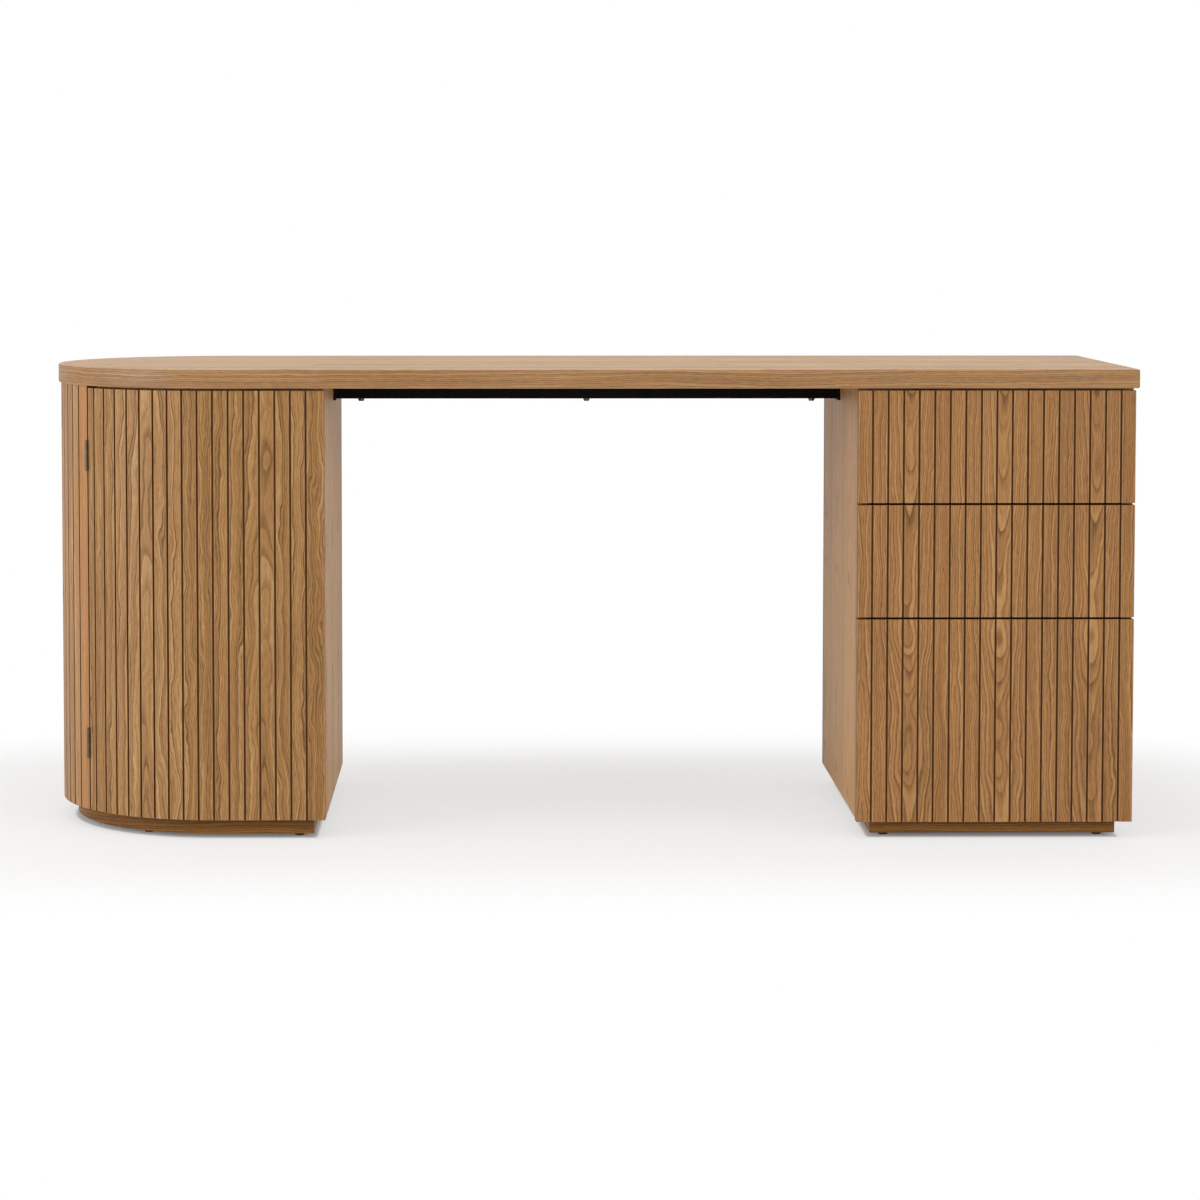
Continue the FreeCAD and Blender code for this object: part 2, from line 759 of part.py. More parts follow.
# Door: flat beside the kneehole, then curved up to the hinge joint.
door = body("door_blank")
door_loop = [
    (*joint_corner(pedestal_half, 1), (origin, 1)),
    (0, -pedestal_half),
    (flat_length, -pedestal_half),
    (flat_length, -door_inner),
    (0, -door_inner, (origin, -1)),
    joint_corner(door_inner, 1),
]
pad(door, outline(door, "door_plan", "XY_Plane", [door_loop]), fronts_high - base_z)
straight_flutes(door, "door_flat_flute", flat_length - first_flute, -pedestal_half, -1, flat_count, True)
curved_flutes(door, "door_curved_flute", first_turn, -1, door_count)
put(door, round_x, 0, base_z)
keep("door", cut("door", door, door_hinge_holes))

# Push latch under the cupboard roof and the plate that it strikes on the door.
latch_x = cupboard_side[0] - s.latch_side_inset
latch_front = s.latch_set_back - core_half
latch_z = (roof_z[0] - s.latch_height, roof_z[0])
latch_middle_z = (latch_z[0] + latch_z[1]) / 2
latch_half = s.latch_width / 2
latch_block = board("latch_block", (latch_x - latch_half, latch_x + latch_half),
                    (latch_front, latch_front + s.latch_length), latch_z)
bore_length = s.plunger_hold + s.plunger_travel * 2
bore = rod((latch_x, latch_front, latch_middle_z), BACK, s.plunger_radius + s.running_play, bore_length)
keep("push_latch_housing", cut("push_latch_housing", latch_block, [bore]))
strike_x = (latch_x - s.strike_width / 2, latch_x + s.strike_width / 2)
strike_y = (-door_inner, s.strike_thick - door_inner)
strike_z = (latch_middle_z - s.strike_height / 2, latch_middle_z + s.strike_height / 2)
keep("latch_strike_plate", board("latch_strike_plate", strike_x, strike_y, strike_z))
tip_y = strike_y[1] + s.fit
plunger_length = latch_front + s.plunger_hold - tip_y
keep("push_latch_plunger", rod((latch_x, tip_y, latch_middle_z), BACK, s.plunger_radius, plunger_length))

# Drawer unit: two sides, floor and roof between them, fluted back over the rear edges.
unit_z = (base_z, top_low)
inner_board = board("unit_inner_blank", (unit_left, unit_inner[0]), unit_y, unit_z)
keep("drawer_unit_inner_side", cut("drawer_unit_inner_side", inner_board,
                                   unit_left_dowels["side"] + side_screw_holes[RIGHT.x]))
outer_board = board("unit_outer_blank", (unit_inner[1], unit_right), unit_y, unit_z)
keep("drawer_unit_outer_side", cut("drawer_unit_outer_side", outer_board, unit_right_dowels["side"]))
unit_floor = board("unit_floor_blank", unit_inner, unit_y, floor_z)
keep("drawer_unit_floor", cut("drawer_unit_floor", unit_floor,
                              unit_left_dowels["floor"] + unit_right_dowels["floor"]))
unit_roof = board("unit_roof_blank", unit_inner, unit_y, roof_z)
keep("drawer_unit_roof", cut("drawer_unit_roof", unit_roof,
                             unit_left_dowels["roof"] + unit_right_dowels["roof"] + roof_holes["unit"]))

unit_count = whole((s.drawer_unit_width - s.front_edge_slat * 2) / s.flute_pitch) + 1
unit_first = (s.drawer_unit_width - s.flute_pitch * (unit_count - 1)) / 2


def fluted_panel(label, y, low, high, outer, outward):
    """A flat fluted panel as wide as the drawer unit, with its grooves on one face."""
    owner = body(label)
    loop = rectangle(0, 0, s.drawer_unit_width, s.skin_thick)
    pad(owner, outline(owner, f"{label}_plan", "XY_Plane", [loop]), high - low)
    straight_flutes(owner, f"{label}_flute", unit_first, outer, outward, unit_count, False)
    put(owner, unit_left, y, low)
    return owner


keep("drawer_unit_back", fluted_panel("drawer_unit_back", unit_half, base_z, top_low, s.skin_thick, 1))

# Plinths: low frames set back under both pedestals.
plinth_half = pedestal_half - s.plinth_inset
plinth_inner = plinth_half - s.plinth_board
round_plinth = body("cupboard_plinth")
plinth_right = flat_length - s.plinth_knee_inset
plinth_inner_right = plinth_right - s.plinth_board
plinth_loops = []
for right, half in ((plinth_right, plinth_half), (plinth_inner_right, plinth_inner)):
    plinth_loops.append([(right, -half), (right, half), (0, half, (origin, 1)), (0, -half)])
pad(round_plinth, outline(round_plinth, "round_plinth_plan", "XY_Plane", plinth_loops), s.plinth_height)
put(round_plinth, round_x, 0, s.foot_height)
keep("cupboard_plinth", round_plinth)

square_plinth = body("drawer_unit_plinth")
square_left = unit_left + s.plinth_inset
square_right = unit_right - s.plinth_inset
square_loops = [
    rectangle(square_left, -plinth_half, square_right, plinth_half),
    rectangle(square_left + s.plinth_board, -plinth_inner, square_right - s.plinth_board, plinth_inner),
]
pad(square_plinth, outline(square_plinth, "square_plinth_plan", "XY_Plane", square_loops), s.plinth_height)
put(square_plinth, 0, 0, s.foot_height)
keep("drawer_unit_plinth", square_plinth)

# Glides: low tapered discs under the plinth boards, set in from their faces.
foot_line = plinth_half - s.foot_inset
round_foot_x = round_x - sine(s.foot_round_angle) * foot_line
foot_places = [(round_x - foot_line, as_size(0))]
for side in (1, -1):
    y = foot_line * side
    foot_places.append((square_left + s.foot_inset, y))
    foot_places.append((square_right - s.foot_inset, y))
    foot_places.append((round_x + plinth_right - s.foot_inset, y))
    foot_places.append((round_foot_x, cosine(s.foot_round_angle) * y))
feet = [taper((x, y, 0), UP, s.foot_toe_radius, s.foot_radius, s.foot_height) for x, y in foot_places]
keep("feet", group("feet", feet))

# Drawers: a fluted front on a box, with telescopic slides of three rails on each side.
box_x = (unit_inner[0] + s.slide_thick, unit_inner[1] - s.slide_thick)
box_inner_x = (box_x[0] + s.box_board, box_x[1] - s.box_board)
box_y = (-unit_half, unit_half - s.box_back_clear)
box_inner_y = (box_y[0] + s.box_board, box_y[1] - s.box_board)
slide_y = unit_y[0] + s.slide_set_back
slide_length = box_y[1] - box_y[0] - s.slide_short


def rails(label, corners, middle_z):
    """A pair of slide rails, one beside each drawer side, from corners of their section."""
    owner = body(label)
    left = [(unit_inner[0] + across, level) for across, level in corners]
    right = [(unit_inner[1] - across, level) for across, level in corners]
    pad(owner, outline(owner, f"{label}_section", "XZ_Plane", [left, right]), slide_length, True)
    put(owner, 0, slide_y, middle_z)
    keep(label, owner)


def channel(start, end, half, sheet_thick, web_thick):
    """The section of a rail: a web beside one wall with two flanges towards the other."""
    inner = half - sheet_thick
    web = start + web_thick
    return [(start, -half), (end, -half), (end, -inner), (web, -inner),
            (web, inner), (end, inner), (end, half), (start, half)]


rail_end = s.slide_thick - s.slide_sheet - s.fit
outer_half = s.slide_height / 2
track_half = outer_half - s.slide_sheet - s.fit
drawer_half = track_half - s.slide_track - s.fit
track_start = s.slide_sheet + s.fit
drawer_start = track_start + s.slide_sheet + s.fit
rail_sections = {
    "cabinet_rails": channel(as_size(0), rail_end, outer_half, s.slide_sheet, s.slide_sheet),
    "middle_rails": channel(track_start, rail_end, track_half, s.slide_track, s.slide_sheet),
    "drawer_rails": channel(s.slide_thick, drawer_start, drawer_half, s.slide_sheet, -s.slide_sheet),
}


def drawer(name, front_z, box_low):
    """One drawer with its front, box, screws and slides."""
    box_high = front_z[1] - s.box_head
    box_z = (box_low, box_high)
    bottom_z = (box_low + s.bottom_lift, box_low + s.bottom_lift + s.bottom_thick)
    groove_z = (bottom_z[0], bottom_z[1] + s.fit)
    reach = s.bottom_groove
    slot = board(f"{name}_slot", (box_inner_x[0] - reach, box_inner_x[1] + reach),
                 (box_inner_y[0] - reach, box_inner_y[1] + reach), groove_z)
    inset = reach - s.fit
    bottom_x = (box_inner_x[0] - inset, box_inner_x[1] + inset)
    bottom_y = (box_inner_y[0] - inset, box_inner_y[1] + inset)
    keep(f"{name}_drawer_bottom", board(f"{name}_drawer_bottom", bottom_x, bottom_y, bottom_z))

    screw_hole = s.front_screw_radius + s.hole_play
    screws = []
    front_holes = []
    box_holes = []
    for x in (box_inner_x[0] + s.front_screw_inset, box_inner_x[1] - s.front_screw_inset):
        for z in (box_low + s.front_screw_edge, box_high - s.front_screw_edge):
            seat = (x, box_inner_y[0], z)
            length = s.box_board + s.front_screw_bite
            screws.append(headed(seat, FRONT, s.front_screw_radius, length,
                                 s.front_screw_head, s.front_screw_head_height))
            box_holes.append(rod(seat, FRONT, screw_hole, s.box_board))
            front_holes.append(rod((x, box_y[0], z), FRONT, screw_hole, s.front_screw_bite + s.fit))
    keep(f"{name}_drawer_screws", group(f"{name}_drawer_screws", screws))
    front = fluted_panel(f"{name}_front_blank", -pedestal_half, front_z[0], front_z[1], as_size(0), -1)
    keep(f"{name}_drawer_front", cut(f"{name}_drawer_front", front, front_holes))

    left = board(f"{name}_left_blank", (box_x[0], box_inner_x[0]), box_y, box_z)
    keep(f"{name}_drawer_left_side", cut(f"{name}_drawer_left_side", left, [slot]))
    right = board(f"{name}_right_blank", (box_inner_x[1], box_x[1]), box_y, box_z)
    keep(f"{name}_drawer_right_side", cut(f"{name}_drawer_right_side", right, [slot]))
    face = board(f"{name}_box_front_blank", box_inner_x, (box_y[0], box_inner_y[0]), box_z)
    keep(f"{name}_drawer_box_front", cut(f"{name}_drawer_box_front", face, box_holes + [slot]))
    rear = board(f"{name}_rear_blank", box_inner_x, (box_inner_y[1], box_y[1]), box_z)
    keep(f"{name}_drawer_back", cut(f"{name}_drawer_back", rear, [slot]))

    for rail_name, corners in rail_sections.items():
        rails(f"{name}_{rail_name}", corners, (box_low + box_high) / 2)


upper_z = (fronts_high - s.upper_front_height, fronts_high)
middle_high = upper_z[0] - s.reveal
middle_z = (middle_high - s.upper_front_height, middle_high)
lower_z = (base_z - s.front_drop, middle_z[0] - s.reveal)
drawer("upper", upper_z, upper_z[0] + s.box_lift)
drawer("middle", middle_z, middle_z[0] + s.box_lift)
drawer("lower", lower_z, floor_z[1] + s.box_floor_clear)

# Every object must be sound before the pieces are written.
doc.recompute()
for item in doc.Objects:
    if "Invalid" in item.State or "Error" in item.State:
        raise RuntimeError(f"{item.Label} did not build: {item.State}")
for item in doc.Objects:
    if item.isDerivedFrom("PartDesign::Pocket") and item.Shape.Volume >= item.BaseFeature.Shape.Volume:
        raise RuntimeError(f"{item.Label} cuts nothing")
os.makedirs("parts", exist_ok=True)
for item in kept:
    if item.Shape.isNull() or not item.Shape.isValid():
        raise RuntimeError(f"{item.Label} is not a sound solid")
    item.Shape.exportStep(f"parts/{item.Label}.step")
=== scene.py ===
import json
import math
from collections import namedtuple

import bmesh
import bpy
from mathutils import Color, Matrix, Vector


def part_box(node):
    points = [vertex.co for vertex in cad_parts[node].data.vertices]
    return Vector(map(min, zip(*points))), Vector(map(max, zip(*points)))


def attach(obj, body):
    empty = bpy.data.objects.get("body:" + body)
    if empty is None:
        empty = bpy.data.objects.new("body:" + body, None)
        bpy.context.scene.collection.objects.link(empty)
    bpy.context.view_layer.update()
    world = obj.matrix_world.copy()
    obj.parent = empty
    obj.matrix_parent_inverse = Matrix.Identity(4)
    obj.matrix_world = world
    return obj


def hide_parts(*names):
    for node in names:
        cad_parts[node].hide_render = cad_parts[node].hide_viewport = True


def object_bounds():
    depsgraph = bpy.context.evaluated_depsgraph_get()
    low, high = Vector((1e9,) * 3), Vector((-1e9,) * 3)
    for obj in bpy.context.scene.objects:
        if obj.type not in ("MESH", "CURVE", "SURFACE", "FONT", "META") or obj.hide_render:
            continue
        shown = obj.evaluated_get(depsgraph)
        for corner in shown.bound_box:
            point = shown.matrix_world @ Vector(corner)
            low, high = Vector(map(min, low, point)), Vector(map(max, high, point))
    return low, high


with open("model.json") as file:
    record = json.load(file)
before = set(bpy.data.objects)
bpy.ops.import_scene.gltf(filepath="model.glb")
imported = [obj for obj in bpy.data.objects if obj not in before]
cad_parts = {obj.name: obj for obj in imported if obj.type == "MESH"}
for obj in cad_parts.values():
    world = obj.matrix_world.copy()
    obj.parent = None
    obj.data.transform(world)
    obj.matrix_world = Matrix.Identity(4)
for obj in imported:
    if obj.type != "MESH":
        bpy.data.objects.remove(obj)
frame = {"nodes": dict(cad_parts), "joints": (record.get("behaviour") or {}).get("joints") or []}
cad_low, cad_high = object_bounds()


# Plinths: low frames of veneered board, set back under both pedestals so that they stand in shadow.
# The boards are bent or mitred and glued at the corners; their colour is darker than the rest of the desk
# as painted shade.
PLINTH_BOARD = 0.036
PLINTH_ARRIS = 0.0008
# These colours are the desk's veneer darkened as painted shade under the overhang.
PLINTH_WOOD_PAINTED_SHADE = ((90, 58, 26), (125, 84, 38), (150, 107, 55))
PLINTH_SHEEN = 0.14
PLINTH_RELIEF = 0.0002
PLINTH_DRIFT = 0.1
ROUND_STEPS = 72
SMOOTH_BELOW = math.radians(38)
FULL_CHANNEL = 255
CLOUD_SPREAD = 4.0
FULL_STRENGTH = 1.0
PLAIN_DETAIL = 2.0
PLAIN_ROUGHNESS = 0.5

Patches = namedtuple("Patches", "layer wide long strength detail roughness",
                     defaults=(FULL_STRENGTH, PLAIN_DETAIL, PLAIN_ROUGHNESS))
OutlinePoint = namedtuple("OutlinePoint", "x y run groove worn", defaults=(0.0, 0.0))
RingPoint = namedtuple("RingPoint", "place run groove worn", defaults=(0.0, 0.0, 0.0))


def paint(red, green, blue):
    """A colour as mixed on screen, as light values."""
    mixed = Color((red / FULL_CHANNEL, green / FULL_CHANNEL, blue / FULL_CHANNEL))
    return (*mixed.from_srgb_to_scene_linear(), 1.0)


class Field:
    """A value that varies over a surface, worked out by nodes of one finish."""

    def __init__(self, finish, socket):
        self.finish = finish
        self.socket = socket

    def __add__(self, other):
        return self.finish.math("ADD", self, other)

    def __radd__(self, other):
        return self.finish.math("ADD", other, self)

    def __sub__(self, other):
        return self.finish.math("SUBTRACT", self, other)

    def __rsub__(self, other):
        return self.finish.math("SUBTRACT", other, self)

    def __mul__(self, other):
        return self.finish.math("MULTIPLY", self, other)

    def __truediv__(self, other):
        return self.finish.math("DIVIDE", self, other)

    def floor(self):
        return self.finish.math("FLOOR", self)

    def root(self):
        return self.finish.math("SQRT", self)

    def size(self):
        return self.finish.math("ABSOLUTE", self)

    def above(self, level):
        return self.finish.math("GREATER_THAN", self, level)

    def at_least(self, level):
        return self.finish.math("MAXIMUM", self, level)

    def at_most(self, level):
        return self.finish.math("MINIMUM", self, level)

    def eased(self, low, high):
        """Nought below one level, one above another, and a soft step between."""
        node = self.finish.node("MapRange", interpolation_type="SMOOTHSTEP")
        for name, value in (("Value", self), ("From Min", low), ("From Max", high)):
            self.finish.feed(node.inputs[name], value)
        return Field(self.finish, node.outputs["Result"])


class Finish:
    """A surface finish whose colour, bump and roughness are worked out by nodes."""

    def __init__(self, name):
        self.material = bpy.data.materials.new(name)
        self.material.use_nodes = True
        self.tree = self.material.node_tree
        self.shader = self.tree.nodes["Principled BSDF"]

    def node(self, kind, **settings):
        made = self.tree.nodes.new(f"ShaderNode{kind}")
        for name, value in settings.items():
            setattr(made, name, value)
        return made

    def feed(self, socket, value):
        if isinstance(value, Field):
            self.tree.links.new(value.socket, socket)
        else:
            socket.default_value = value

    def math(self, operation, *values):
        node = self.node("Math", operation=operation)
        for socket, value in zip(node.inputs, values):
            self.feed(socket, value)
        return Field(self, node.outputs[0])

    def attribute(self, name, output="Fac"):
        node = self.node("Attribute", attribute_name=name)
        return Field(self, node.outputs[output])

    def parts(self, vector):
        node = self.node("SeparateXYZ")
        self.feed(node.inputs[0], vector)
        return [Field(self, socket) for socket in node.outputs]

    def grain(self):
        """Places across and along the grain, as laid on the mesh."""
        return self.parts(self.attribute("grain", "Vector"))[:2]

    def place(self):
        """Places in the piece's own frame."""
        return self.parts(Field(self, self.node("TexCoord").outputs["Object"]))

    def noise(self, across, along, patches, layer=0.0):
        """Cloudy patches of a given width and length, from about minus to plus their strength."""
        spot = self.node("CombineXYZ")
        places = (across / patches.wide, along / patches.long, layer + patches.layer)
        for socket, value in zip(spot.inputs, places):
            self.feed(socket, value)
        cloud = self.node("TexNoise")
        self.feed(cloud.inputs["Vector"], Field(self, spot.outputs[0]))
        cloud.inputs["Scale"].default_value = 1.0
        cloud.inputs["Detail"].default_value = patches.detail
        cloud.inputs["Roughness"].default_value = patches.roughness
        return (Field(self, cloud.outputs["Fac"]) * CLOUD_SPREAD - CLOUD_SPREAD / 2) * patches.strength

    def chance(self, number):
        """A random share that stays the same for each number."""
        node = self.node("TexWhiteNoise", noise_dimensions="1D")
        self.feed(node.inputs["W"], number)
        return Field(self, node.outputs["Value"])

    def ramp(self, amount, positions, colours):
        """A colour picked by a share from screen colours at given positions."""
        node = self.node("ValToRGB")
        self.feed(node.inputs[0], amount)
        elements = node.color_ramp.elements
        for position in positions[1:-1]:
            elements.new(position)
        for element, position, colour in zip(elements, positions, colours):
            element.position = position
            element.color = paint(*colour)
        return Field(self, node.outputs["Color"])

    def blend(self, amount, first, second):
        """Two colours mixed by a share."""
        node = self.node("MixRGB")
        for socket, value in zip(node.inputs, (amount, first, second)):
            self.feed(socket, value)
        return Field(self, node.outputs[0])

    def finish(self, colour, roughness, height, bump_depth):
        """Joins colour, roughness and bump to the shader."""
        self.feed(self.shader.inputs["Base Color"], colour)
        self.feed(self.shader.inputs["Roughness"], roughness)
        bump = self.node("Bump")
        bump.inputs["Strength"].default_value = 1.0
        bump.inputs["Distance"].default_value = bump_depth
        self.feed(bump.inputs["Height"], height)
        self.feed(self.shader.inputs["Normal"], Field(self, bump.outputs[0]))
        return self.material


GENTLE_HEAVE = 0.004
VeneerCut = namedtuple("VeneerCut", "leaf heart rise ring sway wriggle layer heave",
                       defaults=(GENTLE_HEAVE,))
LEAF_LAYER = 0.14
SWAY = Patches(layer=0.0, wide=0.12, long=0.42)
WRIGGLE = Patches(layer=3.7, wide=0.034, long=0.080, detail=1.5)
CURL = Patches(layer=5.3, wide=0.012, long=0.030, strength=0.22)
HEAVE = Patches(layer=1.9, wide=0.28, long=0.28)
UNEVEN_SPAN = 5.0
UNEVEN_STRENGTH = 0.75
EARLY_RISE = (0.0, 0.09)
EARLY_FADE = (0.08, 0.62)
FAINTEST_LINE = 0.30
RING_TONE_STEP = 1.31
RING_TONE_START = 0.37
RING_TONE = 0.26
LEAF_TONE_STEP = 1.7
LEAF_TONE = 0.06
STREAK = Patches(layer=2.2, wide=0.0044, long=0.26, strength=0.12, detail=3.0, roughness=0.6)
FIBRE = Patches(layer=4.4, wide=0.0016, long=0.016, strength=0.15, roughness=0.6)
CLOUD = Patches(layer=6.6, wide=0.13, long=0.24, strength=0.06)
PORE = Patches(layer=8.8, wide=0.0006, long=0.0075)
PORE_EDGE = (0.25, 0.8)
PLAIN_TONE = 0.585
LINE_TONE = 0.49
PORE_TONE = 0.05
EARLY_PORE_TONE = 0.26


def crown_cut(finish, across, along, cut):
    """Tone, ring lines and pores of crown-cut leaves laid side by side in the order they were sliced."""
    leaf_number = (across / cut.leaf).floor()
    inside = across - (leaf_number + 0.5) * cut.leaf
    spot = leaf_number * LEAF_LAYER + cut.layer
    sway = finish.noise(inside, along, SWAY, spot) * cut.sway
    wriggle = finish.noise(inside, along, WRIGGLE, spot) * cut.wriggle
    curl = finish.noise(inside, along, CURL, spot) * cut.wriggle
    side = inside + sway + wriggle + curl
    level = finish.noise(along, along, HEAVE, spot) * cut.heave
    depth = along * cut.rise + level + cut.heart
    distance = (side * side + depth * depth).root()
    span = cut.ring * UNEVEN_SPAN
    uneven = finish.noise(distance, distance, Patches(0.0, span, span, UNEVEN_STRENGTH), cut.layer)
    rings = distance / cut.ring + uneven
    ring_number = rings.floor()
    phase = rings - ring_number
    early = (1.0 - phase.eased(*EARLY_FADE)) * phase.eased(*EARLY_RISE)
    line = early * (finish.chance(ring_number + cut.layer) * (1.0 - FAINTEST_LINE) + FAINTEST_LINE)
    ring_tone = finish.chance(ring_number * RING_TONE_STEP + cut.layer + RING_TONE_START) - 0.5
    streak = finish.noise(side, along, STREAK, spot)
    fibre = finish.noise(side, along, FIBRE, spot)
    cloud = finish.noise(across, along, CLOUD, cut.layer)
    leaf_tone = finish.chance(leaf_number * LEAF_TONE_STEP + cut.layer) - 0.5
    pores = finish.noise(side, along, PORE, spot).eased(*PORE_EDGE)
    tone = PLAIN_TONE - line * LINE_TONE + ring_tone * RING_TONE + leaf_tone * LEAF_TONE
    tone = tone + streak + fibre + cloud
    return tone - pores * (early * EARLY_PORE_TONE + PORE_TONE), line, pores


TONE_STOPS = (0.05, 0.55, 0.95)
LACQUER_ROUGHNESS = 0.48
LINE_ROUGHNESS = 0.08
PORE_ROUGHNESS = 0.10
LINE_SINK = 0.30
PORE_SINK = 0.45


def stained_wood(finish, figure, colours, sheen):
    """Colour, roughness and height of a veneer figure, stained and lacquered satin."""
    tone, line, pores = figure
    finish.shader.inputs["Specular IOR Level"].default_value = sheen
    colour = finish.ramp(tone, TONE_STOPS, colours)
    roughness = LACQUER_ROUGHNESS + line * LINE_ROUGHNESS + pores * PORE_ROUGHNESS
    height = 1.0 - line * LINE_SINK - pores * PORE_SINK
    return colour, roughness, height


def drawn_in(loop, by):
    """A closed outline moved inwards by a small step, keeping its corners."""
    places = [Vector((point.x, point.y)) for point in loop]
    moved = []
    for index, point in enumerate(loop):
        before = (places[index] - places[index - 1]).normalized()
        after = (places[(index + 1) % len(loop)] - places[index]).normalized()
        inward = Vector((-before.y - after.y, before.x + after.x))
        step = inward * (2 * by / max(inward.length_squared, 1.0))
        moved.append(point._replace(x=point.x + step.x, y=point.y + step.y))
    return moved


def level_ring(loop, height, least_worn=0.0):
    """An outline at one height; its points keep their run along the outline, groove and wear."""
    return [RingPoint(Vector((x, y, height)), run, groove, max(worn, least_worn))
            for x, y, run, groove, worn in loop]


def eased_rings(loop, low, high, arris):
    """Rings of an upright board whose lower and upper arrises are broken."""
    inner = drawn_in(loop, arris)
    return [level_ring(inner, low), level_ring(loop, low + arris),
            level_ring(loop, high - arris), level_ring(inner, high)]


def skin(name, rings, lay, end_run=None, closed=False):
    """A mesh over rings of points; lay says where a point lies across and along the grain."""
    count = len(rings[0])
    points = [point for ring in rings for point in ring]
    faces = []
    runs = []
    last = len(rings) if closed else len(rings) - 1
    for level in range(last):
        here = level * count
        above = (level + 1) % len(rings) * count
        for index in range(count):
            step = (index + 1) % count
            faces.append((here + index, here + step, above + step, above + index))
            first = points[here + index].run
            second = points[here + step].run
            if step == 0 and end_run is not None:
                second = end_run
            runs.append((first, second, second, first))
    if not closed:
        top = (len(rings) - 1) * count
        ends = [tuple(reversed(range(count))), tuple(range(top, top + count))]
        faces += ends
        runs += [[points[corner].run for corner in end] for end in ends]
    mesh = bpy.data.meshes.new(name)
    mesh.from_pydata([point.place for point in points], [], faces)
    grain = mesh.attributes.new("grain", "FLOAT_VECTOR", "CORNER")
    for face, face_runs in zip(mesh.polygons, runs):
        for corner, run in zip(face.loop_indices, face_runs):
            place = mesh.vertices[mesh.loops[corner].vertex_index].co
            grain.data[corner].vector = (*lay(place, run, face.normal), 0.0)
    for mark in ("groove", "worn"):
        values = mesh.attributes.new(mark, "FLOAT", "POINT")
        values.data.foreach_set("value", [getattr(point, mark) for point in points])
    if not closed:
        shape = bmesh.new()
        shape.from_mesh(mesh)
        end_faces = [face for face in shape.faces if len(face.verts) == count]
        bmesh.ops.triangulate(shape, faces=end_faces, ngon_method="EAR_CLIP")
        shape.to_mesh(mesh)
        shape.free()
    mesh.shade_smooth()
    mesh.set_sharp_from_angle(angle=SMOOTH_BELOW)
    piece = bpy.data.objects.new(name, mesh)
    bpy.context.scene.collection.objects.link(piece)
    return piece


def stand_for(piece, node, body, material):
    """Dresses a finished mesh and puts it in the place of a frame node."""
    piece.data.materials.append(material)
    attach(piece, body)
    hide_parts(node)


def round_ended(low, high, inset, steps=ROUND_STEPS):
    """An outline with a half-round left end and a square right end, drawn in from its box."""
    half = (high.y - low.y) / 2 - inset
    centre = low.x + inset + half
    right = high.x - inset
    middle = (low.y + high.y) / 2
    turns = [math.pi * (0.5 + step / steps) for step in range(steps + 1)]
    corners = [(right, middle - half), (right, middle + half)]
    corners += [(centre + half * math.cos(turn), middle + half * math.sin(turn)) for turn in turns]
    return corners


def square_ended(low, high, inset):
    """The four corners of a box, drawn in."""
    return [(low.x + inset, low.y + inset), (high.x - inset, low.y + inset),
            (high.x - inset, high.y - inset), (low.x + inset, high.y - inset)]


def with_runs(corners):
    """An outline whose points carry the length walked so far, and that whole length."""
    loop = []
    run = 0.0
    for index, (x, y) in enumerate(corners):
        loop.append(OutlinePoint(x, y, run))
        ahead = corners[(index + 1) % len(corners)]
        run += math.dist((x, y), ahead)
    return loop, run


def along_boards(place, run, normal):
    """Grain that lies along the boards and drifts a little from front to back."""
    return place.z + place.y * PLINTH_DRIFT, run


def plinth_frame(node, outline):
    """A hollow frame of boards on edge, with broken arrises outside."""
    low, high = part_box(node)
    outer, length = with_runs(outline(low, high, 0.0))
    inside = outline(low, high, PLINTH_BOARD)
    inner = [OutlinePoint(x, y, point.run) for (x, y), point in zip(inside, outer)]
    rings = eased_rings(outer, low.z, high.z, PLINTH_ARRIS)
    rings += [level_ring(inner, high.z), level_ring(inner, low.z)]
    return skin(f"{node}_frame", rings, along_boards, length, closed=True)


PLINTH_CUT = VeneerCut(leaf=1.0, heart=0.10, rise=0.004, ring=0.0042, sway=0.006, wriggle=0.0008,
                       layer=4.3)


def plinth_finish():
    """Veneer darkened with painted shade, its grain lying along the boards."""
    finish = Finish("plinth_veneer")
    figure = crown_cut(finish, *finish.grain(), PLINTH_CUT)
    return finish.finish(*stained_wood(finish, figure, PLINTH_WOOD_PAINTED_SHADE, PLINTH_SHEEN), PLINTH_RELIEF)


plinth_veneer = plinth_finish()
round_plinth = plinth_frame("cupboard_plinth", round_ended)
square_plinth = plinth_frame("drawer_unit_plinth", square_ended)
stand_for(round_plinth, "cupboard_plinth", "desk", plinth_veneer)
stand_for(square_plinth, "drawer_unit_plinth", "desk", plinth_veneer)


# Glides: low tapered discs of moulded brown plastic that hold the plinths just off the floor.
# They are stuck under the plinth boards and are scuffed on the face that meets the floor.
GLIDE_DARK = (38, 27, 20)
GLIDE_SCUFFED = (82, 64, 50)
GLIDE_SPECK = Patches(layer=1.0, wide=0.0012, long=0.0012, detail=3.0)
GLIDE_SCUFF = Patches(layer=2.0, wide=0.006, long=0.003, detail=3.0)
SCUFF_EDGE = (0.0, 0.5)
SCUFF_HEIGHT = 0.002
GLIDE_ROUGHNESS = 0.5
SPECK_ROUGHNESS = 0.08
GLIDE_RELIEF = 0.00005


def dress(material, *nodes):
    """Gives frame nodes that keep their own mesh a finish."""
    for node in nodes:
        for slot in frame["nodes"][node].material_slots:
            slot.material = material


def glide_finish():
    """Moulded plastic, paler where it is scuffed."""
    finish = Finish("glide_plastic")
    x, y, z = finish.place()
    speck = finish.noise(x, y + z, GLIDE_SPECK)
    scuff = finish.noise(x, y, GLIDE_SCUFF).eased(*SCUFF_EDGE) * (1.0 - z.eased(0.0, SCUFF_HEIGHT))
    colour = finish.blend(scuff, paint(*GLIDE_DARK), paint(*GLIDE_SCUFFED))
    return finish.finish(colour, GLIDE_ROUGHNESS + speck * SPECK_ROUGHNESS, speck, GLIDE_RELIEF)


dress(glide_finish(), "feet")


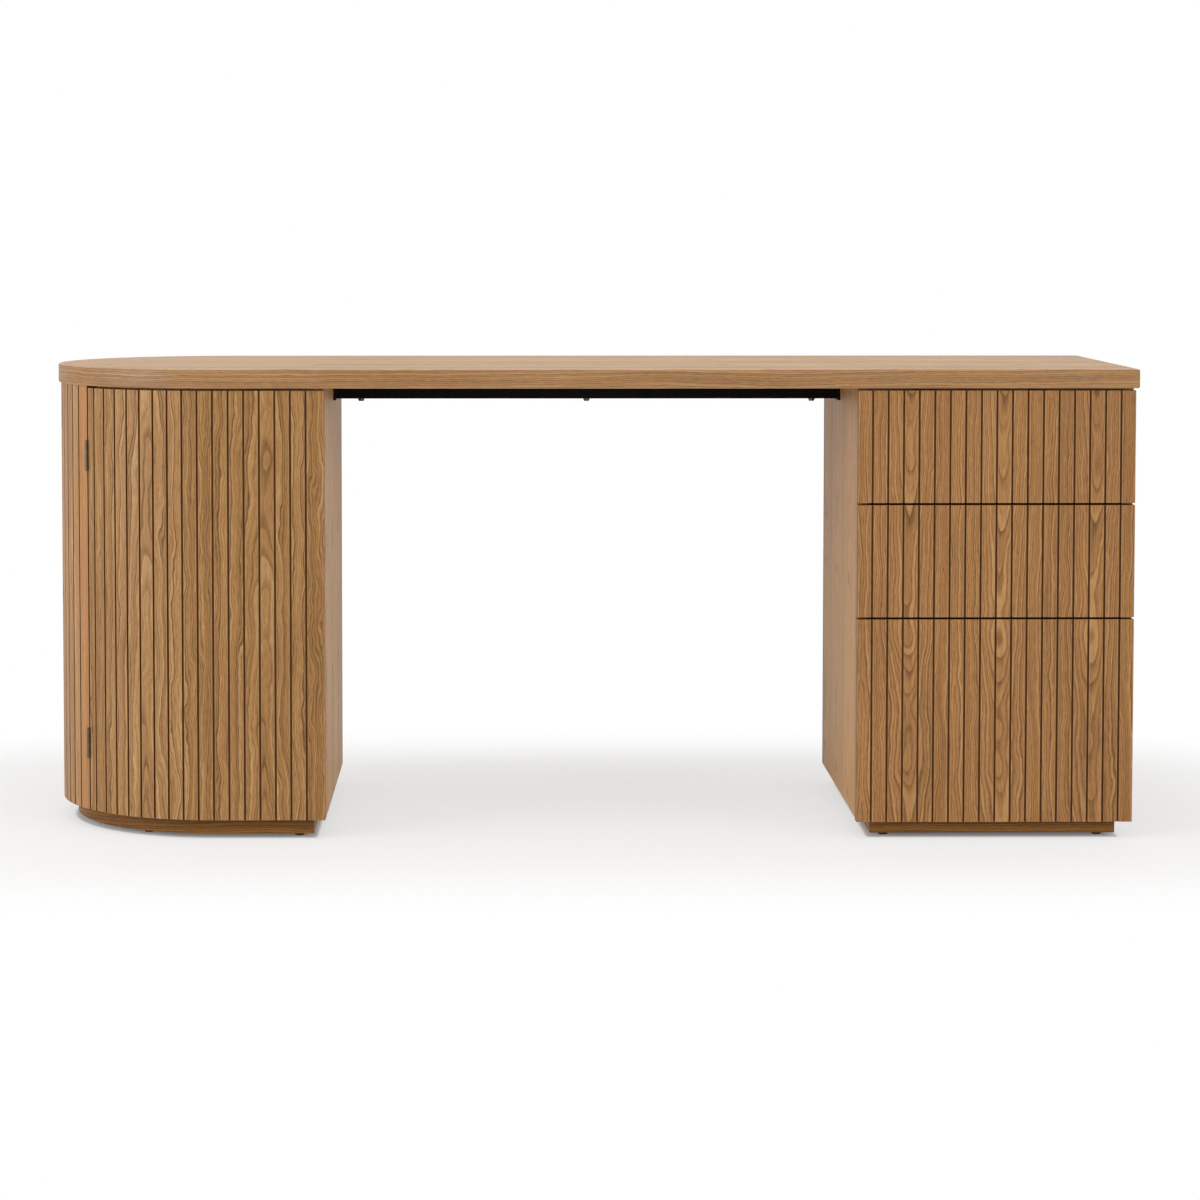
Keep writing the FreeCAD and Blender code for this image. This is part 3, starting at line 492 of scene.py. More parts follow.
# Cupboard carcass: floor, roof, flat inner side and one shelf of veneered board.
# The floor and roof are doweled to the side and fit inside the curved shell.
# The shelf lies on four steel pins.
LONG_AXIS, DEEP_AXIS, TALL_AXIS = range(3)
WOOD_DARK = (97, 63, 28)
WOOD_MID = (151, 105, 57)
WOOD_LIGHT = (183, 141, 91)
WOOD = (WOOD_DARK, WOOD_MID, WOOD_LIGHT)
# Inner-side colours are paler and greyer than WOOD: painted light and sheen on the faces beside the
# kneehole.
SIDE_WOOD_PAINTED_LIGHT = ((125, 86, 43), (178, 131, 73), (203, 160, 100))
SIDE_CUT = VeneerCut(leaf=0.19, heart=0.030, rise=0.045, ring=0.0038, sway=0.008, wriggle=0.002,
                     layer=2.6)
FLOOR_CUT = SIDE_CUT._replace(layer=7.4)
BOARD_SHEEN = 0.22
VENEER_RELIEF = 0.00015
JOIN_WITHIN = 0.00001
EASE_STEPS = 2
SHARP_ABOVE = math.radians(50)
EASED_BOARD = 0.0006
PIN_STEEL = ((128, 124, 116), (178, 174, 165))
PLATE_LINES = Patches(layer=3.0, wide=0.0012, long=0.0012, detail=3.0, roughness=0.6)
DULL_SPOTS = Patches(layer=5.0, wide=0.012, long=0.02, detail=3.0)
PLATE_STOPS = (0.2, 0.8)
PLATE_TONE = 0.5
LINES_TONE = 0.22
SPOTS_TONE = 0.08
PLATE_ROUGHNESS = 0.34
SPOTS_ROUGHNESS = 0.04
PLATE_RELIEF = 0.000004


def ease(width, *nodes):
    """Breaks the sharp edges of pieces that keep their own mesh."""
    for node in nodes:
        joined = frame["nodes"][node].modifiers.new("joined", "WELD")
        joined.merge_threshold = JOIN_WITHIN
        broken = frame["nodes"][node].modifiers.new("broken_arris", "BEVEL")
        broken.width = width
        broken.segments = EASE_STEPS
        broken.limit_method = "ANGLE"
        broken.angle_limit = SHARP_ABOVE
        broken.harden_normals = True


def board_finish(name, along_axis, cut, colours):
    """Veneered board with its grain along one axis of the desk."""
    finish = Finish(name)
    places = finish.place()
    along = places.pop(along_axis)
    figure = crown_cut(finish, places[0] + places[1], along, cut)
    return finish.finish(*stained_wood(finish, figure, colours, BOARD_SHEEN), VENEER_RELIEF)


def plated_finish(name, colours, lines=PLATE_LINES, roughness=PLATE_ROUGHNESS):
    """Plated or browned steel with faint drawing lines and small dull spots."""
    finish = Finish(name)
    x, y, z = finish.place()
    drawn = finish.noise(x + z, y, lines)
    dull = finish.noise(x + z, y, DULL_SPOTS)
    colour = finish.ramp(drawn * LINES_TONE + dull * SPOTS_TONE + PLATE_TONE, PLATE_STOPS, colours)
    finish.shader.inputs["Metallic"].default_value = 1.0
    return finish.finish(colour, dull * SPOTS_ROUGHNESS + roughness, drawn, PLATE_RELIEF)


floor_veneer = board_finish("floor_and_roof_veneer", LONG_AXIS, FLOOR_CUT, WOOD)
dress(board_finish("side_veneer", TALL_AXIS, SIDE_CUT, SIDE_WOOD_PAINTED_LIGHT), "cupboard_inner_side")
dress(floor_veneer, "cupboard_floor", "cupboard_roof", "cupboard_shelf")
ease(EASED_BOARD, "cupboard_inner_side", "cupboard_floor", "cupboard_roof", "cupboard_shelf")
dress(plated_finish("pin_steel", PIN_STEEL), "shelf_pins")


# Shell: the fixed outside of the cupboard, from the hinge stile round the end and along the back.
# Bent ply with veneer laid upright, then grooved; the wide stile at the hinges is an orange solid strip.
FLUTE_PITCH = 0.025
FLUTE_WIDTH = 0.003
FLUTE_DEPTH = 0.004
EDGE_SLAT = 0.0282
SHELL_THICK = 0.020
JOINT_HALF_GAP = 0.0016
SLAT_ARRIS = 0.0004
ARRIS_STEPS = 3
# Share of the groove's painted shade at each step up the arris.
ARRIS_PAINTED_SHADE = (1.0, 1.0, 0.6, 0.0)
ARRIS_WEAR = (0.0, 0.0, 0.2, 1.0)
WEAR_WIDTH = 0.0016
CURVE_STEP = 0.006
BOARD_ARRIS = 0.0003
STILE_WIDTH = 0.0265
SHELL_CUT = VeneerCut(leaf=0.195, heart=0.018, rise=0.03, ring=0.0040, sway=0.008, wriggle=0.005,
                      layer=11.3)
# The shell's colours are paler than the door's: painted light on the end that faces the left softbox.
SHELL_WOOD_PAINTED_LIGHT = ((112, 76, 39), (168, 122, 74), (198, 154, 105))
SATIN_SHEEN = 0.32
RUB = Patches(layer=0.0, wide=0.02, long=0.05, strength=0.15, detail=3.0)
RUBBED_SHARE = 0.35
STILE_TINT = (163, 105, 55)
STILE_SHARE = 0.45
# Colours of painted shade in the grooves, laid over the shadow the render gives them; the darker one is
# for the shell and the drawer unit's back.
GROOVE_PAINTED_SHADE = (100, 62, 24)
DEEP_PAINTED_SHADE_FOR_GROOVES = (52, 30, 10)
GROOVE_SHARE = 0.92
FRONTWARD = -1
BACKWARD = 1
shell_low, shell_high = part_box("cupboard_shell")
round_radius = shell_high.y
round_centre = shell_low.x + round_radius
flat_length = shell_high.x - round_centre
hinge_joint = next(joint for joint in frame["joints"] if joint["child"] == "door")
hinge_turn = math.atan2(round_centre - hinge_joint["pos_m"][0], -hinge_joint["pos_m"][1])

FacePoint = namedtuple("FacePoint", "run depth groove worn", defaults=(0.0, 0.0))


def arris_points(edge, way):
    """The small round on the edge of a slat, from the groove wall up to the face; its lower steps take
    the groove's painted shade.
    """
    points = []
    for step in range(ARRIS_STEPS + 1):
        turn = math.pi / 2 * step / ARRIS_STEPS
        run = edge + way * SLAT_ARRIS * (1 - math.cos(turn))
        depth = SLAT_ARRIS * (1 - math.sin(turn))
        points.append(FacePoint(run, depth, ARRIS_PAINTED_SHADE[step], ARRIS_WEAR[step]))
    return points


def fluted_run(length, grooves, thick, step):
    """Points of a fluted board, out along its face and home along its back."""
    edges = [0.0]
    for middle in grooves:
        edges += [middle - FLUTE_WIDTH / 2, middle + FLUTE_WIDTH / 2]
    edges.append(length)
    points = []
    for start, end in zip(edges[::2], edges[1::2]):
        if start > 0.0:
            points.append(FacePoint(start, FLUTE_DEPTH, groove=1.0))
        points += arris_points(start, 1)
        first = start + SLAT_ARRIS + WEAR_WIDTH
        last = end - SLAT_ARRIS - WEAR_WIDTH
        count = max(1, math.ceil((last - first) / step))
        points += [FacePoint(first + (last - first) * index / count, 0.0) for index in range(count + 1)]
        points += arris_points(end, -1)[::-1]
        if end < length:
            points.append(FacePoint(end, FLUTE_DEPTH, groove=1.0))
    count = max(1, math.ceil(length / step))
    points += [FacePoint(length * (1 - index / count), thick) for index in range(count + 1)]
    return points


def round_face(run, depth, way):
    """A point of the round pedestal's face, counted from the kneehole along the back or the front."""
    if run <= flat_length:
        return shell_high.x - run, way * (round_radius - depth)
    turn = (run - flat_length) / round_radius
    radius = round_radius - depth
    return round_centre - radius * math.sin(turn), way * radius * math.cos(turn)


def flat_grooves():
    """Middles of the grooves from the kneehole to the start of the curve."""
    count = math.floor((flat_length - EDGE_SLAT - FLUTE_WIDTH / 2) / FLUTE_PITCH) + 1
    return [EDGE_SLAT + FLUTE_WIDTH / 2 + FLUTE_PITCH * index for index in range(count)]


def upright(place, run, normal):
    """Veneer laid with its grain upright, unrolled along the face."""
    return run, place.z


def fluted_panel(node, points, put, leaf_start=0.0):
    """A fluted board as high as a frame node; put says where a run and a depth lie in the desk's plan."""
    low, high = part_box(node)
    loop = [OutlinePoint(*put(run, depth), run + depth - leaf_start, groove, worn)
            for run, depth, groove, worn in points]
    return skin(f"{node}_fluted", eased_rings(loop, low.z, high.z, BOARD_ARRIS), upright)


def rubbed(finish, colour, across, along, layer):
    """Stain rubbed thin along the arrises, here more and there less."""
    amount = finish.attribute("worn") * (finish.noise(across, along, RUB, layer) + RUBBED_SHARE)
    return finish.blend(amount, colour, paint(*WOOD_LIGHT))


def fluted_finish(name, cut, colours, groove_painted_shade=GROOVE_PAINTED_SHADE, stile_from=None):
    """Upright veneer on slats, with painted shade in the grooves and stain rubbed pale on the arrises."""
    finish = Finish(name)
    across, along = finish.grain()
    figure = crown_cut(finish, across, along, cut)
    colour, roughness, height = stained_wood(finish, figure, colours, SATIN_SHEEN)
    if stile_from is not None:
        colour = finish.blend(across.above(stile_from) * STILE_SHARE, colour, paint(*STILE_TINT))
    colour = rubbed(finish, colour, across, along, cut.layer)
    # The grooves take painted shade.
    colour = finish.blend(finish.attribute("groove") * GROOVE_SHARE, colour, paint(*groove_painted_shade))
    return finish.finish(colour, roughness, height, VENEER_RELIEF)


shell_length = flat_length + (math.pi - hinge_turn) * round_radius - JOINT_HALF_GAP
shell_grooves = [shell_length - STILE_WIDTH - FLUTE_WIDTH / 2]
while shell_grooves[0] - FLUTE_PITCH >= flat_grooves()[-1] + FLUTE_PITCH:
    shell_grooves.insert(0, shell_grooves[0] - FLUTE_PITCH)
shell_grooves = flat_grooves() + shell_grooves
shell_points = fluted_run(shell_length, shell_grooves, SHELL_THICK, CURVE_STEP)
shell = fluted_panel("cupboard_shell", shell_points, lambda run, depth: round_face(run, depth, BACKWARD))
shell_veneer = fluted_finish("shell_veneer", SHELL_CUT, SHELL_WOOD_PAINTED_LIGHT, DEEP_PAINTED_SHADE_FOR_GROOVES, shell_grooves[-1])
stand_for(shell, "cupboard_shell", "desk", shell_veneer)


# Door: a curved fluted panel that closes the front of the cupboard and swings on two butt hinges.
# Made as the shell is, two millimetres thinner so that it shuts clear of the carcass.
DOOR_THICK = 0.018
DOOR_HINGE_SLAT = 0.012
DOOR_WOOD = ((97, 65, 29), (151, 108, 59), (183, 147, 99))
DOOR_CUT = VeneerCut(leaf=0.195, heart=0.018, rise=0.030, ring=0.0036, sway=0.012, wriggle=0.0055,
                     layer=23.9)
door_length = flat_length + hinge_turn * round_radius - JOINT_HALF_GAP
door_grooves = flat_grooves()
while door_grooves[-1] + FLUTE_PITCH <= door_length - DOOR_HINGE_SLAT:
    door_grooves.append(door_grooves[-1] + FLUTE_PITCH)
door_points = fluted_run(door_length, door_grooves, DOOR_THICK, CURVE_STEP)
door_points.reverse()
door = fluted_panel("door", door_points, lambda run, depth: round_face(run, depth, FRONTWARD))
stand_for(door, "door", "door", fluted_finish("door_veneer", DOOR_CUT, DOOR_WOOD))


# Hinges: two butt hinges of browned steel let into the joint, with short, long and short knuckles.
# The leaves are held by countersunk screws and turn on a plain pin.
HINGE_STEEL = ((62, 53, 43), (124, 113, 97))
HINGE_LINES = PLATE_LINES._replace(wide=0.0008, long=0.0008)
HINGE_ROUGHNESS = 0.40
dress(plated_finish("hinge_steel", HINGE_STEEL, HINGE_LINES, HINGE_ROUGHNESS),
      "hinge_frame_leaves", "hinge_door_leaves", "hinge_frame_screws", "hinge_door_screws", "hinge_pins")


# Push latch: a grey moulded housing fixed under the cupboard roof, with a sprung plunger.
# Pressing the door pops it open; the plunger meets a small zinc plate on the door.
LATCH_GREY = ((112, 112, 110), (150, 150, 148))
MOULD_TEXTURE = Patches(layer=1.0, wide=0.0006, long=0.0006, detail=3.0)
MOULD_CLOUD = Patches(layer=2.0, wide=0.02, long=0.02)
WIDE_STOPS = (0.1, 0.9)
MOULD_TONE = 0.6
TEXTURE_TONE = 0.2
MOULD_CLOUD_TONE = 0.2
MOULD_ROUGHNESS = 0.48
TEXTURE_ROUGHNESS = 0.06
MOULD_RELIEF = 0.00004
ZINC = ((186, 184, 175), (216, 214, 205))
ZINC_LINES = PLATE_LINES._replace(wide=0.0005, long=0.30)
ZINC_ROUGHNESS = 0.30


def moulded_finish(name, colours):
    """Moulded plastic with a fine spark-eroded texture."""
    finish = Finish(name)
    x, y, z = finish.place()
    texture = finish.noise(x + z, y + z, MOULD_TEXTURE)
    cloud = finish.noise(x, y + z, MOULD_CLOUD)
    tone = texture * TEXTURE_TONE + cloud * MOULD_CLOUD_TONE + MOULD_TONE
    roughness = texture * TEXTURE_ROUGHNESS + MOULD_ROUGHNESS
    return finish.finish(finish.ramp(tone, WIDE_STOPS, colours), roughness, texture, MOULD_RELIEF)


dress(moulded_finish("latch_plastic", LATCH_GREY), "push_latch_housing", "push_latch_plunger")
zinc = plated_finish("zinc_plate", ZINC, ZINC_LINES, ZINC_ROUGHNESS)
dress(zinc, "latch_strike_plate")


# Drawer unit carcass: two sides, floor and roof of veneered board, doweled together.
# A fluted back covers the rear edges so that the desk can stand free in a room.
UNIT_SKIN = 0.020
UNIT_GROOVES = 17
UNIT_FIRST = 0.0235
UNIT_LEAVES = 3
UNIT_SIDE_CUT = SIDE_CUT._replace(layer=14.8)
unit_low, unit_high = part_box("drawer_unit_back")
unit_width = unit_high.x - unit_low.x
unit_grooves = [UNIT_FIRST + FLUTE_PITCH * index for index in range(UNIT_GROOVES)]
unit_points = fluted_run(unit_width, unit_grooves, UNIT_SKIN, FLUTE_PITCH)
FRONT_CUT = VeneerCut(leaf=unit_width / UNIT_LEAVES, heart=0.043, rise=-0.040, ring=0.0030, sway=0.009,
                      wriggle=0.0035, layer=77.5, heave=0.006)
BACK_CUT = FRONT_CUT._replace(layer=31.1)
# The inner side takes the paler colours with painted light; the outer side takes the plain wood.
dress(board_finish("unit_side_veneer", TALL_AXIS, UNIT_SIDE_CUT, SIDE_WOOD_PAINTED_LIGHT), "drawer_unit_inner_side")
dress(board_finish("unit_outer_veneer", TALL_AXIS, UNIT_SIDE_CUT, WOOD), "drawer_unit_outer_side")
dress(floor_veneer, "drawer_unit_floor", "drawer_unit_roof")
ease(EASED_BOARD, "drawer_unit_inner_side", "drawer_unit_outer_side",
     "drawer_unit_floor", "drawer_unit_roof")
unit_back = fluted_panel("drawer_unit_back", unit_points,
                         lambda run, depth: (unit_high.x - run, unit_high.y - depth))
back_veneer = fluted_finish("unit_back_veneer", BACK_CUT, WOOD, DEEP_PAINTED_SHADE_FOR_GROOVES)
stand_for(unit_back, "drawer_unit_back", "desk", back_veneer)


# Drawers: boxes of birch ply glued at the corners with the bottom let into a groove.
# Each carries a fluted front, cut from one run of veneer over all three, and runs on steel slides.
PLY_FACE = ((196, 163, 116), (226, 202, 160))
PLY_LINE = (150, 112, 70)
PLY_LAYER = 0.0024
PLY_WAVE = Patches(layer=1.0, wide=0.05, long=0.35, strength=0.012)
PLY_BANDS = Patches(layer=2.0, wide=0.006, long=0.4, detail=3.0, roughness=0.55)
PLY_FIBRE = Patches(layer=3.0, wide=0.0009, long=0.03)
PLY_TONE = 0.55
BANDS_TONE = 0.3
PLY_FIBRE_TONE = 0.18
GLUE_EDGE = (0.08, 0.30)
GLUE_SHARE = 0.6
FACE_TILT = (0.5, 0.8)
PLY_ROUGHNESS = 0.5
PLY_FIBRE_ROUGHNESS = 0.06
PLY_RELIEF = 0.00006
EASED_PLY = 0.0010
EASED_RAIL = 0.0003
LEAF_START = 0.008


def ply_finish(name, thick_axis, along_axis):
    """Birch ply: pale rotary-cut faces, and edges that show the layers."""
    finish = Finish(name)
    places = finish.place()
    along = places[along_axis]
    across = places[TALL_AXIS] if thick_axis != TALL_AXIS else places[DEEP_AXIS]
    wave = finish.noise(across, along, PLY_WAVE)
    bands = finish.noise(across + wave, along, PLY_BANDS)
    fibre = finish.noise(across, along, PLY_FIBRE)
    face = finish.ramp(bands * BANDS_TONE + fibre * PLY_FIBRE_TONE + PLY_TONE, WIDE_STOPS, PLY_FACE)
    layers = places[thick_axis] / PLY_LAYER
    phase = layers - layers.floor()
    glue = 1.0 - (phase - 0.5).size().eased(*GLUE_EDGE)
    edge = finish.blend(glue * GLUE_SHARE, face, paint(*PLY_LINE))
    normal = finish.parts(Field(finish, finish.node("TexCoord").outputs["Normal"]))
    on_face = normal[thick_axis].size().eased(*FACE_TILT)
    roughness = fibre * PLY_FIBRE_ROUGHNESS + PLY_ROUGHNESS
    return finish.finish(finish.blend(on_face, edge, face), roughness, fibre + bands, PLY_RELIEF)


front_veneer = fluted_finish("drawer_front_veneer", FRONT_CUT, WOOD)
ply_side = ply_finish("ply_drawer_side", LONG_AXIS, DEEP_AXIS)
ply_cross = ply_finish("ply_drawer_cross", DEEP_AXIS, LONG_AXIS)
ply_bottom = ply_finish("ply_drawer_bottom", TALL_AXIS, LONG_AXIS)
for drawer in ("upper", "middle", "lower"):
    front_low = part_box(f"{drawer}_drawer_front")[0]
    front = fluted_panel(f"{drawer}_drawer_front", unit_points,
                         lambda run, depth: (front_low.x + run, front_low.y + depth), LEAF_START)
    stand_for(front, f"{drawer}_drawer_front", f"{drawer}_drawer", front_veneer)
    sides = (f"{drawer}_drawer_left_side", f"{drawer}_drawer_right_side")
    ends = (f"{drawer}_drawer_box_front", f"{drawer}_drawer_back")
    rails = (f"{drawer}_drawer_rails", f"{drawer}_middle_rails", f"{drawer}_cabinet_rails")
    dress(ply_side, *sides)
    dress(ply_cross, *ends)
    dress(ply_bottom, f"{drawer}_drawer_bottom")
    dress(zinc, f"{drawer}_drawer_screws", *rails)
    ease(EASED_PLY, *sides, *ends)
    ease(EASED_RAIL, *rails)


# Beam: a square steel tube under the desktop over the kneehole, powder coated matt black.
# A plate welded to each end is screwed to the pedestals, and three bolts go up into the desktop.
BEAM_WALL = 0.002
BEAM_ROUND = 0.0025
BEAM_ROUND_STEPS = 4
# The coat's colours are its matt black darkened further by painted shade under the desktop.
COAT_BLACK_AND_PAINTED_SHADE = ((4, 3, 3), (12, 10, 9))
COAT_PEEL = Patches(layer=1.0, wide=0.0010, long=0.0010)
COAT_DUST = Patches(layer=2.0, wide=0.05, long=0.02, detail=4.0, roughness=0.6)
COAT_TONE = 0.4
DUST_TONE = 0.4
PEEL_TONE = 0.15
COAT_SHEEN = 0.08
COAT_ROUGHNESS = 0.6
DUST_ROUGHNESS = 0.03
COAT_RELIEF = 0.00006
BOLT_STEEL = ((70, 58, 40), (134, 118, 90))
beam_low, beam_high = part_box("stiffener_beam")


def rounded_section(inset, radius):
    """The beam's rectangle drawn in, with round corners, in the plane across the beam."""
    low_y, high_y = beam_low.y + inset + radius, beam_high.y - inset - radius
    low_z, high_z = beam_low.z + inset + radius, beam_high.z - inset - radius
    corners = []
    for index, (y, z) in enumerate(((high_y, high_z), (low_y, high_z), (low_y, low_z), (high_y, low_z))):
        for step in range(BEAM_ROUND_STEPS + 1):
            turn = math.pi / 2 * (index + step / BEAM_ROUND_STEPS)
            corners.append((y + radius * math.cos(turn), z + radius * math.sin(turn)))
    return corners


def beam_ring(section, x):
    """A section of the beam at one place along it."""
    return [RingPoint(Vector((x, y, z))) for y, z in section]


def along_beam(place, run, normal):
    """Places across and along the tube."""
    return place.y, place.x


def coated_finish():
    """Black powder coat darkened further by painted shade, with its fine orange-peel texture and a little
    dust.
    """
    finish = Finish("black_powder_coat")
    x, y, z = finish.place()
    peel = finish.noise(x, y + z, COAT_PEEL)
    dust = finish.noise(x, y + z, COAT_DUST)
    colour = finish.ramp(dust * DUST_TONE + peel * PEEL_TONE + COAT_TONE, WIDE_STOPS, COAT_BLACK_AND_PAINTED_SHADE)
    finish.shader.inputs["Specular IOR Level"].default_value = COAT_SHEEN
    return finish.finish(colour, dust * DUST_ROUGHNESS + COAT_ROUGHNESS, peel, COAT_RELIEF)


outer_section = rounded_section(0.0, BEAM_ROUND)
inner_section = rounded_section(BEAM_WALL, BEAM_ROUND - BEAM_WALL)
beam_rings = [beam_ring(outer_section, beam_low.x), beam_ring(outer_section, beam_high.x),
              beam_ring(inner_section, beam_high.x), beam_ring(inner_section, beam_low.x)]
beam = skin("stiffener_beam_tube", beam_rings, along_beam, closed=True)
coat = coated_finish()
stand_for(beam, "stiffener_beam", "desk", coat)
dress(coat, "beam_end_plates", "end_plate_screws")
dress(plated_finish("bolt_steel", BOLT_STEEL), "beam_bolts")


# Desktop: one slab of veneered board with a half-round left end and eased edges.
# The veneer runs the long way on the face and along the lipping, which is bent round the end.
TOP_ARRIS = 0.003
TOP_ARRIS_STEPS = 6
TOP_WEAR = 0.4
TOP_ROUND_STEPS = 96
LEVEL_FACE = 0.7
# The face colours are paler and greyer than the lipping's wood: painted sheen.
TOP_WOOD_PAINTED_SHEEN = ((134, 99, 64), (186, 149, 109), (210, 176, 137))
TOP_CUT = VeneerCut(leaf=0.21, heart=0.026, rise=0.03, ring=0.0040, sway=0.012, wriggle=0.002,
                    layer=52.4)
LIPPING_WOOD = ((97, 65, 29), (147, 105, 59), (178, 136, 90))
LIPPING_SHEEN = 0.55
LIPPING_CUT = VeneerCut(leaf=2.0, heart=0.12, rise=0.008, ring=0.0026, sway=0.004, wriggle=0.0008,
                        layer=57.9)
top_low, top_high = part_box("desktop")
top_loop, top_length = with_runs(round_ended(top_low, top_high, 0.0, TOP_ROUND_STEPS))


def arris_ring(turn, height, way):
    """An outline of the slab on its rounded arris, which turns from a face to the edge."""
    ring = drawn_in(top_loop, TOP_ARRIS * (1 - math.sin(turn)))
    rise = TOP_ARRIS * (1 - math.cos(turn))
    return level_ring(ring, height + way * rise, TOP_WEAR * math.sin(2 * turn))


def is_lipping(normal):
    """Whether a face of the slab belongs to its edge."""
    return abs(normal.z) <= LEVEL_FACE


def top_lay(place, run, normal):
    """Grain along the desk on the faces and along the edge on the lipping."""
    return (place.z, run) if is_lipping(normal) else (place.y, place.x)


def long_finish(name, cut, colours, sheen):
    """Veneer with its grain the long way, as laid on the mesh, rubbed pale on the arrises."""
    finish = Finish(name)
    across, along = finish.grain()
    figure = crown_cut(finish, across, along, cut)
    colour, roughness, height = stained_wood(finish, figure, colours, sheen)
    colour = rubbed(finish, colour, across, along, cut.layer)
    return finish.finish(colour, roughness, height, VENEER_RELIEF)


top_turns = [math.pi / 2 * step / TOP_ARRIS_STEPS for step in range(TOP_ARRIS_STEPS + 1)]
top_rings = [arris_ring(turn, top_low.z, 1) for turn in top_turns]
top_rings += [arris_ring(turn, top_high.z, -1) for turn in reversed(top_turns)]
desktop = skin("desktop_slab", top_rings, top_lay, top_length)
top_veneer = long_finish("desktop_veneer", TOP_CUT, TOP_WOOD_PAINTED_SHEEN, SATIN_SHEEN)
stand_for(desktop, "desktop", "desk", top_veneer)
desktop.data.materials.append(long_finish("desktop_lipping", LIPPING_CUT, LIPPING_WOOD, LIPPING_SHEEN))
for face in desktop.data.polygons:
    face.material_index = int(is_lipping(face.normal))


# Hidden fixings: plain beech dowels between the boards, and zinc bolts up into the desktop.
# The dowels are glued out of sight; the heads of the bolts show under the roofs of the pedestals.
BEECH = ((180, 138, 92), (214, 178, 132))
BEECH_FLECK = Patches(layer=1.0, wide=0.0006, long=0.004, detail=3.0)
BEECH_TONE = 0.5
FLECK_TONE = 0.5
BEECH_ROUGHNESS = 0.6
FLECK_ROUGHNESS = 0.05
BEECH_RELIEF = 0.00005


def beech_finish():
    """Plain turned beech with its short flecks."""
    finish = Finish("beech")
    x, y, z = finish.place()
    fleck = finish.noise(y + z, x, BEECH_FLECK)
    colour = finish.ramp(fleck * FLECK_TONE + BEECH_TONE, WIDE_STOPS, BEECH)
    return finish.finish(colour, fleck * FLECK_ROUGHNESS + BEECH_ROUGHNESS, fleck, BEECH_RELIEF)


dress(beech_finish(), "dowels")
dress(zinc, "top_fixing_bolts")


# Room: a plain pale floor that runs out to white, and softboxes on the left, on the right and above.
# The camera stands about a metre up in front of the desk, a little left of its middle.
FLOOR_HALF = 9.0
FLOOR_ALBEDO = (228, 227, 225)
FLOOR_GRIT = Patches(layer=1.0, wide=0.004, long=0.004, detail=3.0)
FLOOR_ROUGHNESS = 0.7
FLOOR_RELIEF = 0.00002
FLOOR_LIFT = 0.62
CONTACT_WIDTH = 0.009
CONTACT_LIFT = 0.22
FADE_START = 0.10
FADE_END = 0.60
ROOM_LEVEL = 0.55
ROOM_WHITE = (1.0, 1.0, 1.0, 1.0)
Softbox = namedtuple("Softbox", "place target size power")
LEFT_SOFTBOX = Softbox(place=(-4.9, -2.9, 1.7), target=(0.0, 0.0, 0.4), size=3.0, power=150)
RIGHT_SOFTBOX = Softbox(place=(4.5, -3.4, 1.6), target=(0.0, 0.0, 0.4), size=3.0, power=115)
TOP_SOFTBOX = Softbox(place=(-0.4, -1.0, 4.2), target=(0.0, 0.0, 0.0), size=3.2, power=60)
LENS = 96.59
SENSOR = 36.0
SHIFT = (0.06, -0.16)
CAMERA_PLACE = (-0.1355, -5.443, 0.986)
CAMERA_DOWN = math.radians(3.174)
CAMERA_TURN = math.radians(-0.423)


def outside(x, y, low, high):
    """How far a spot on the floor lies outside an upright box."""
    away_x = ((x - (low.x + high.x) / 2).size() - (high.x - low.x) / 2).at_least(0.0)
    away_y = ((y - (low.y + high.y) / 2).size() - (high.y - low.y) / 2).at_least(0.0)
    return (away_x * away_x + away_y * away_y).root()


def outside_round(x, y, low, high):
    """How far a spot on the floor lies outside an upright box with a half-round left end."""
    half = (high.y - low.y) / 2
    left = (low.x + half - x).at_least(0.0)
    away = (left * left + y * y).root() - half
    return away.at_least(x - high.x).at_least(0.0)


def shown_white(tree):
    """One where the camera, a reflection or a see-through surface looks, nought for the light itself."""
    path = tree.nodes.new("ShaderNodeLightPath")
    shown = path.outputs["Is Camera Ray"]
    for name in ("Is Glossy Ray", "Is Transmission Ray"):
        either = tree.nodes.new("ShaderNodeMath")
        either.operation = "MAXIMUM"
        tree.links.new(shown, either.inputs[0])
        tree.links.new(path.outputs[name], either.inputs[1])
        shown = either.outputs[0]
    return shown


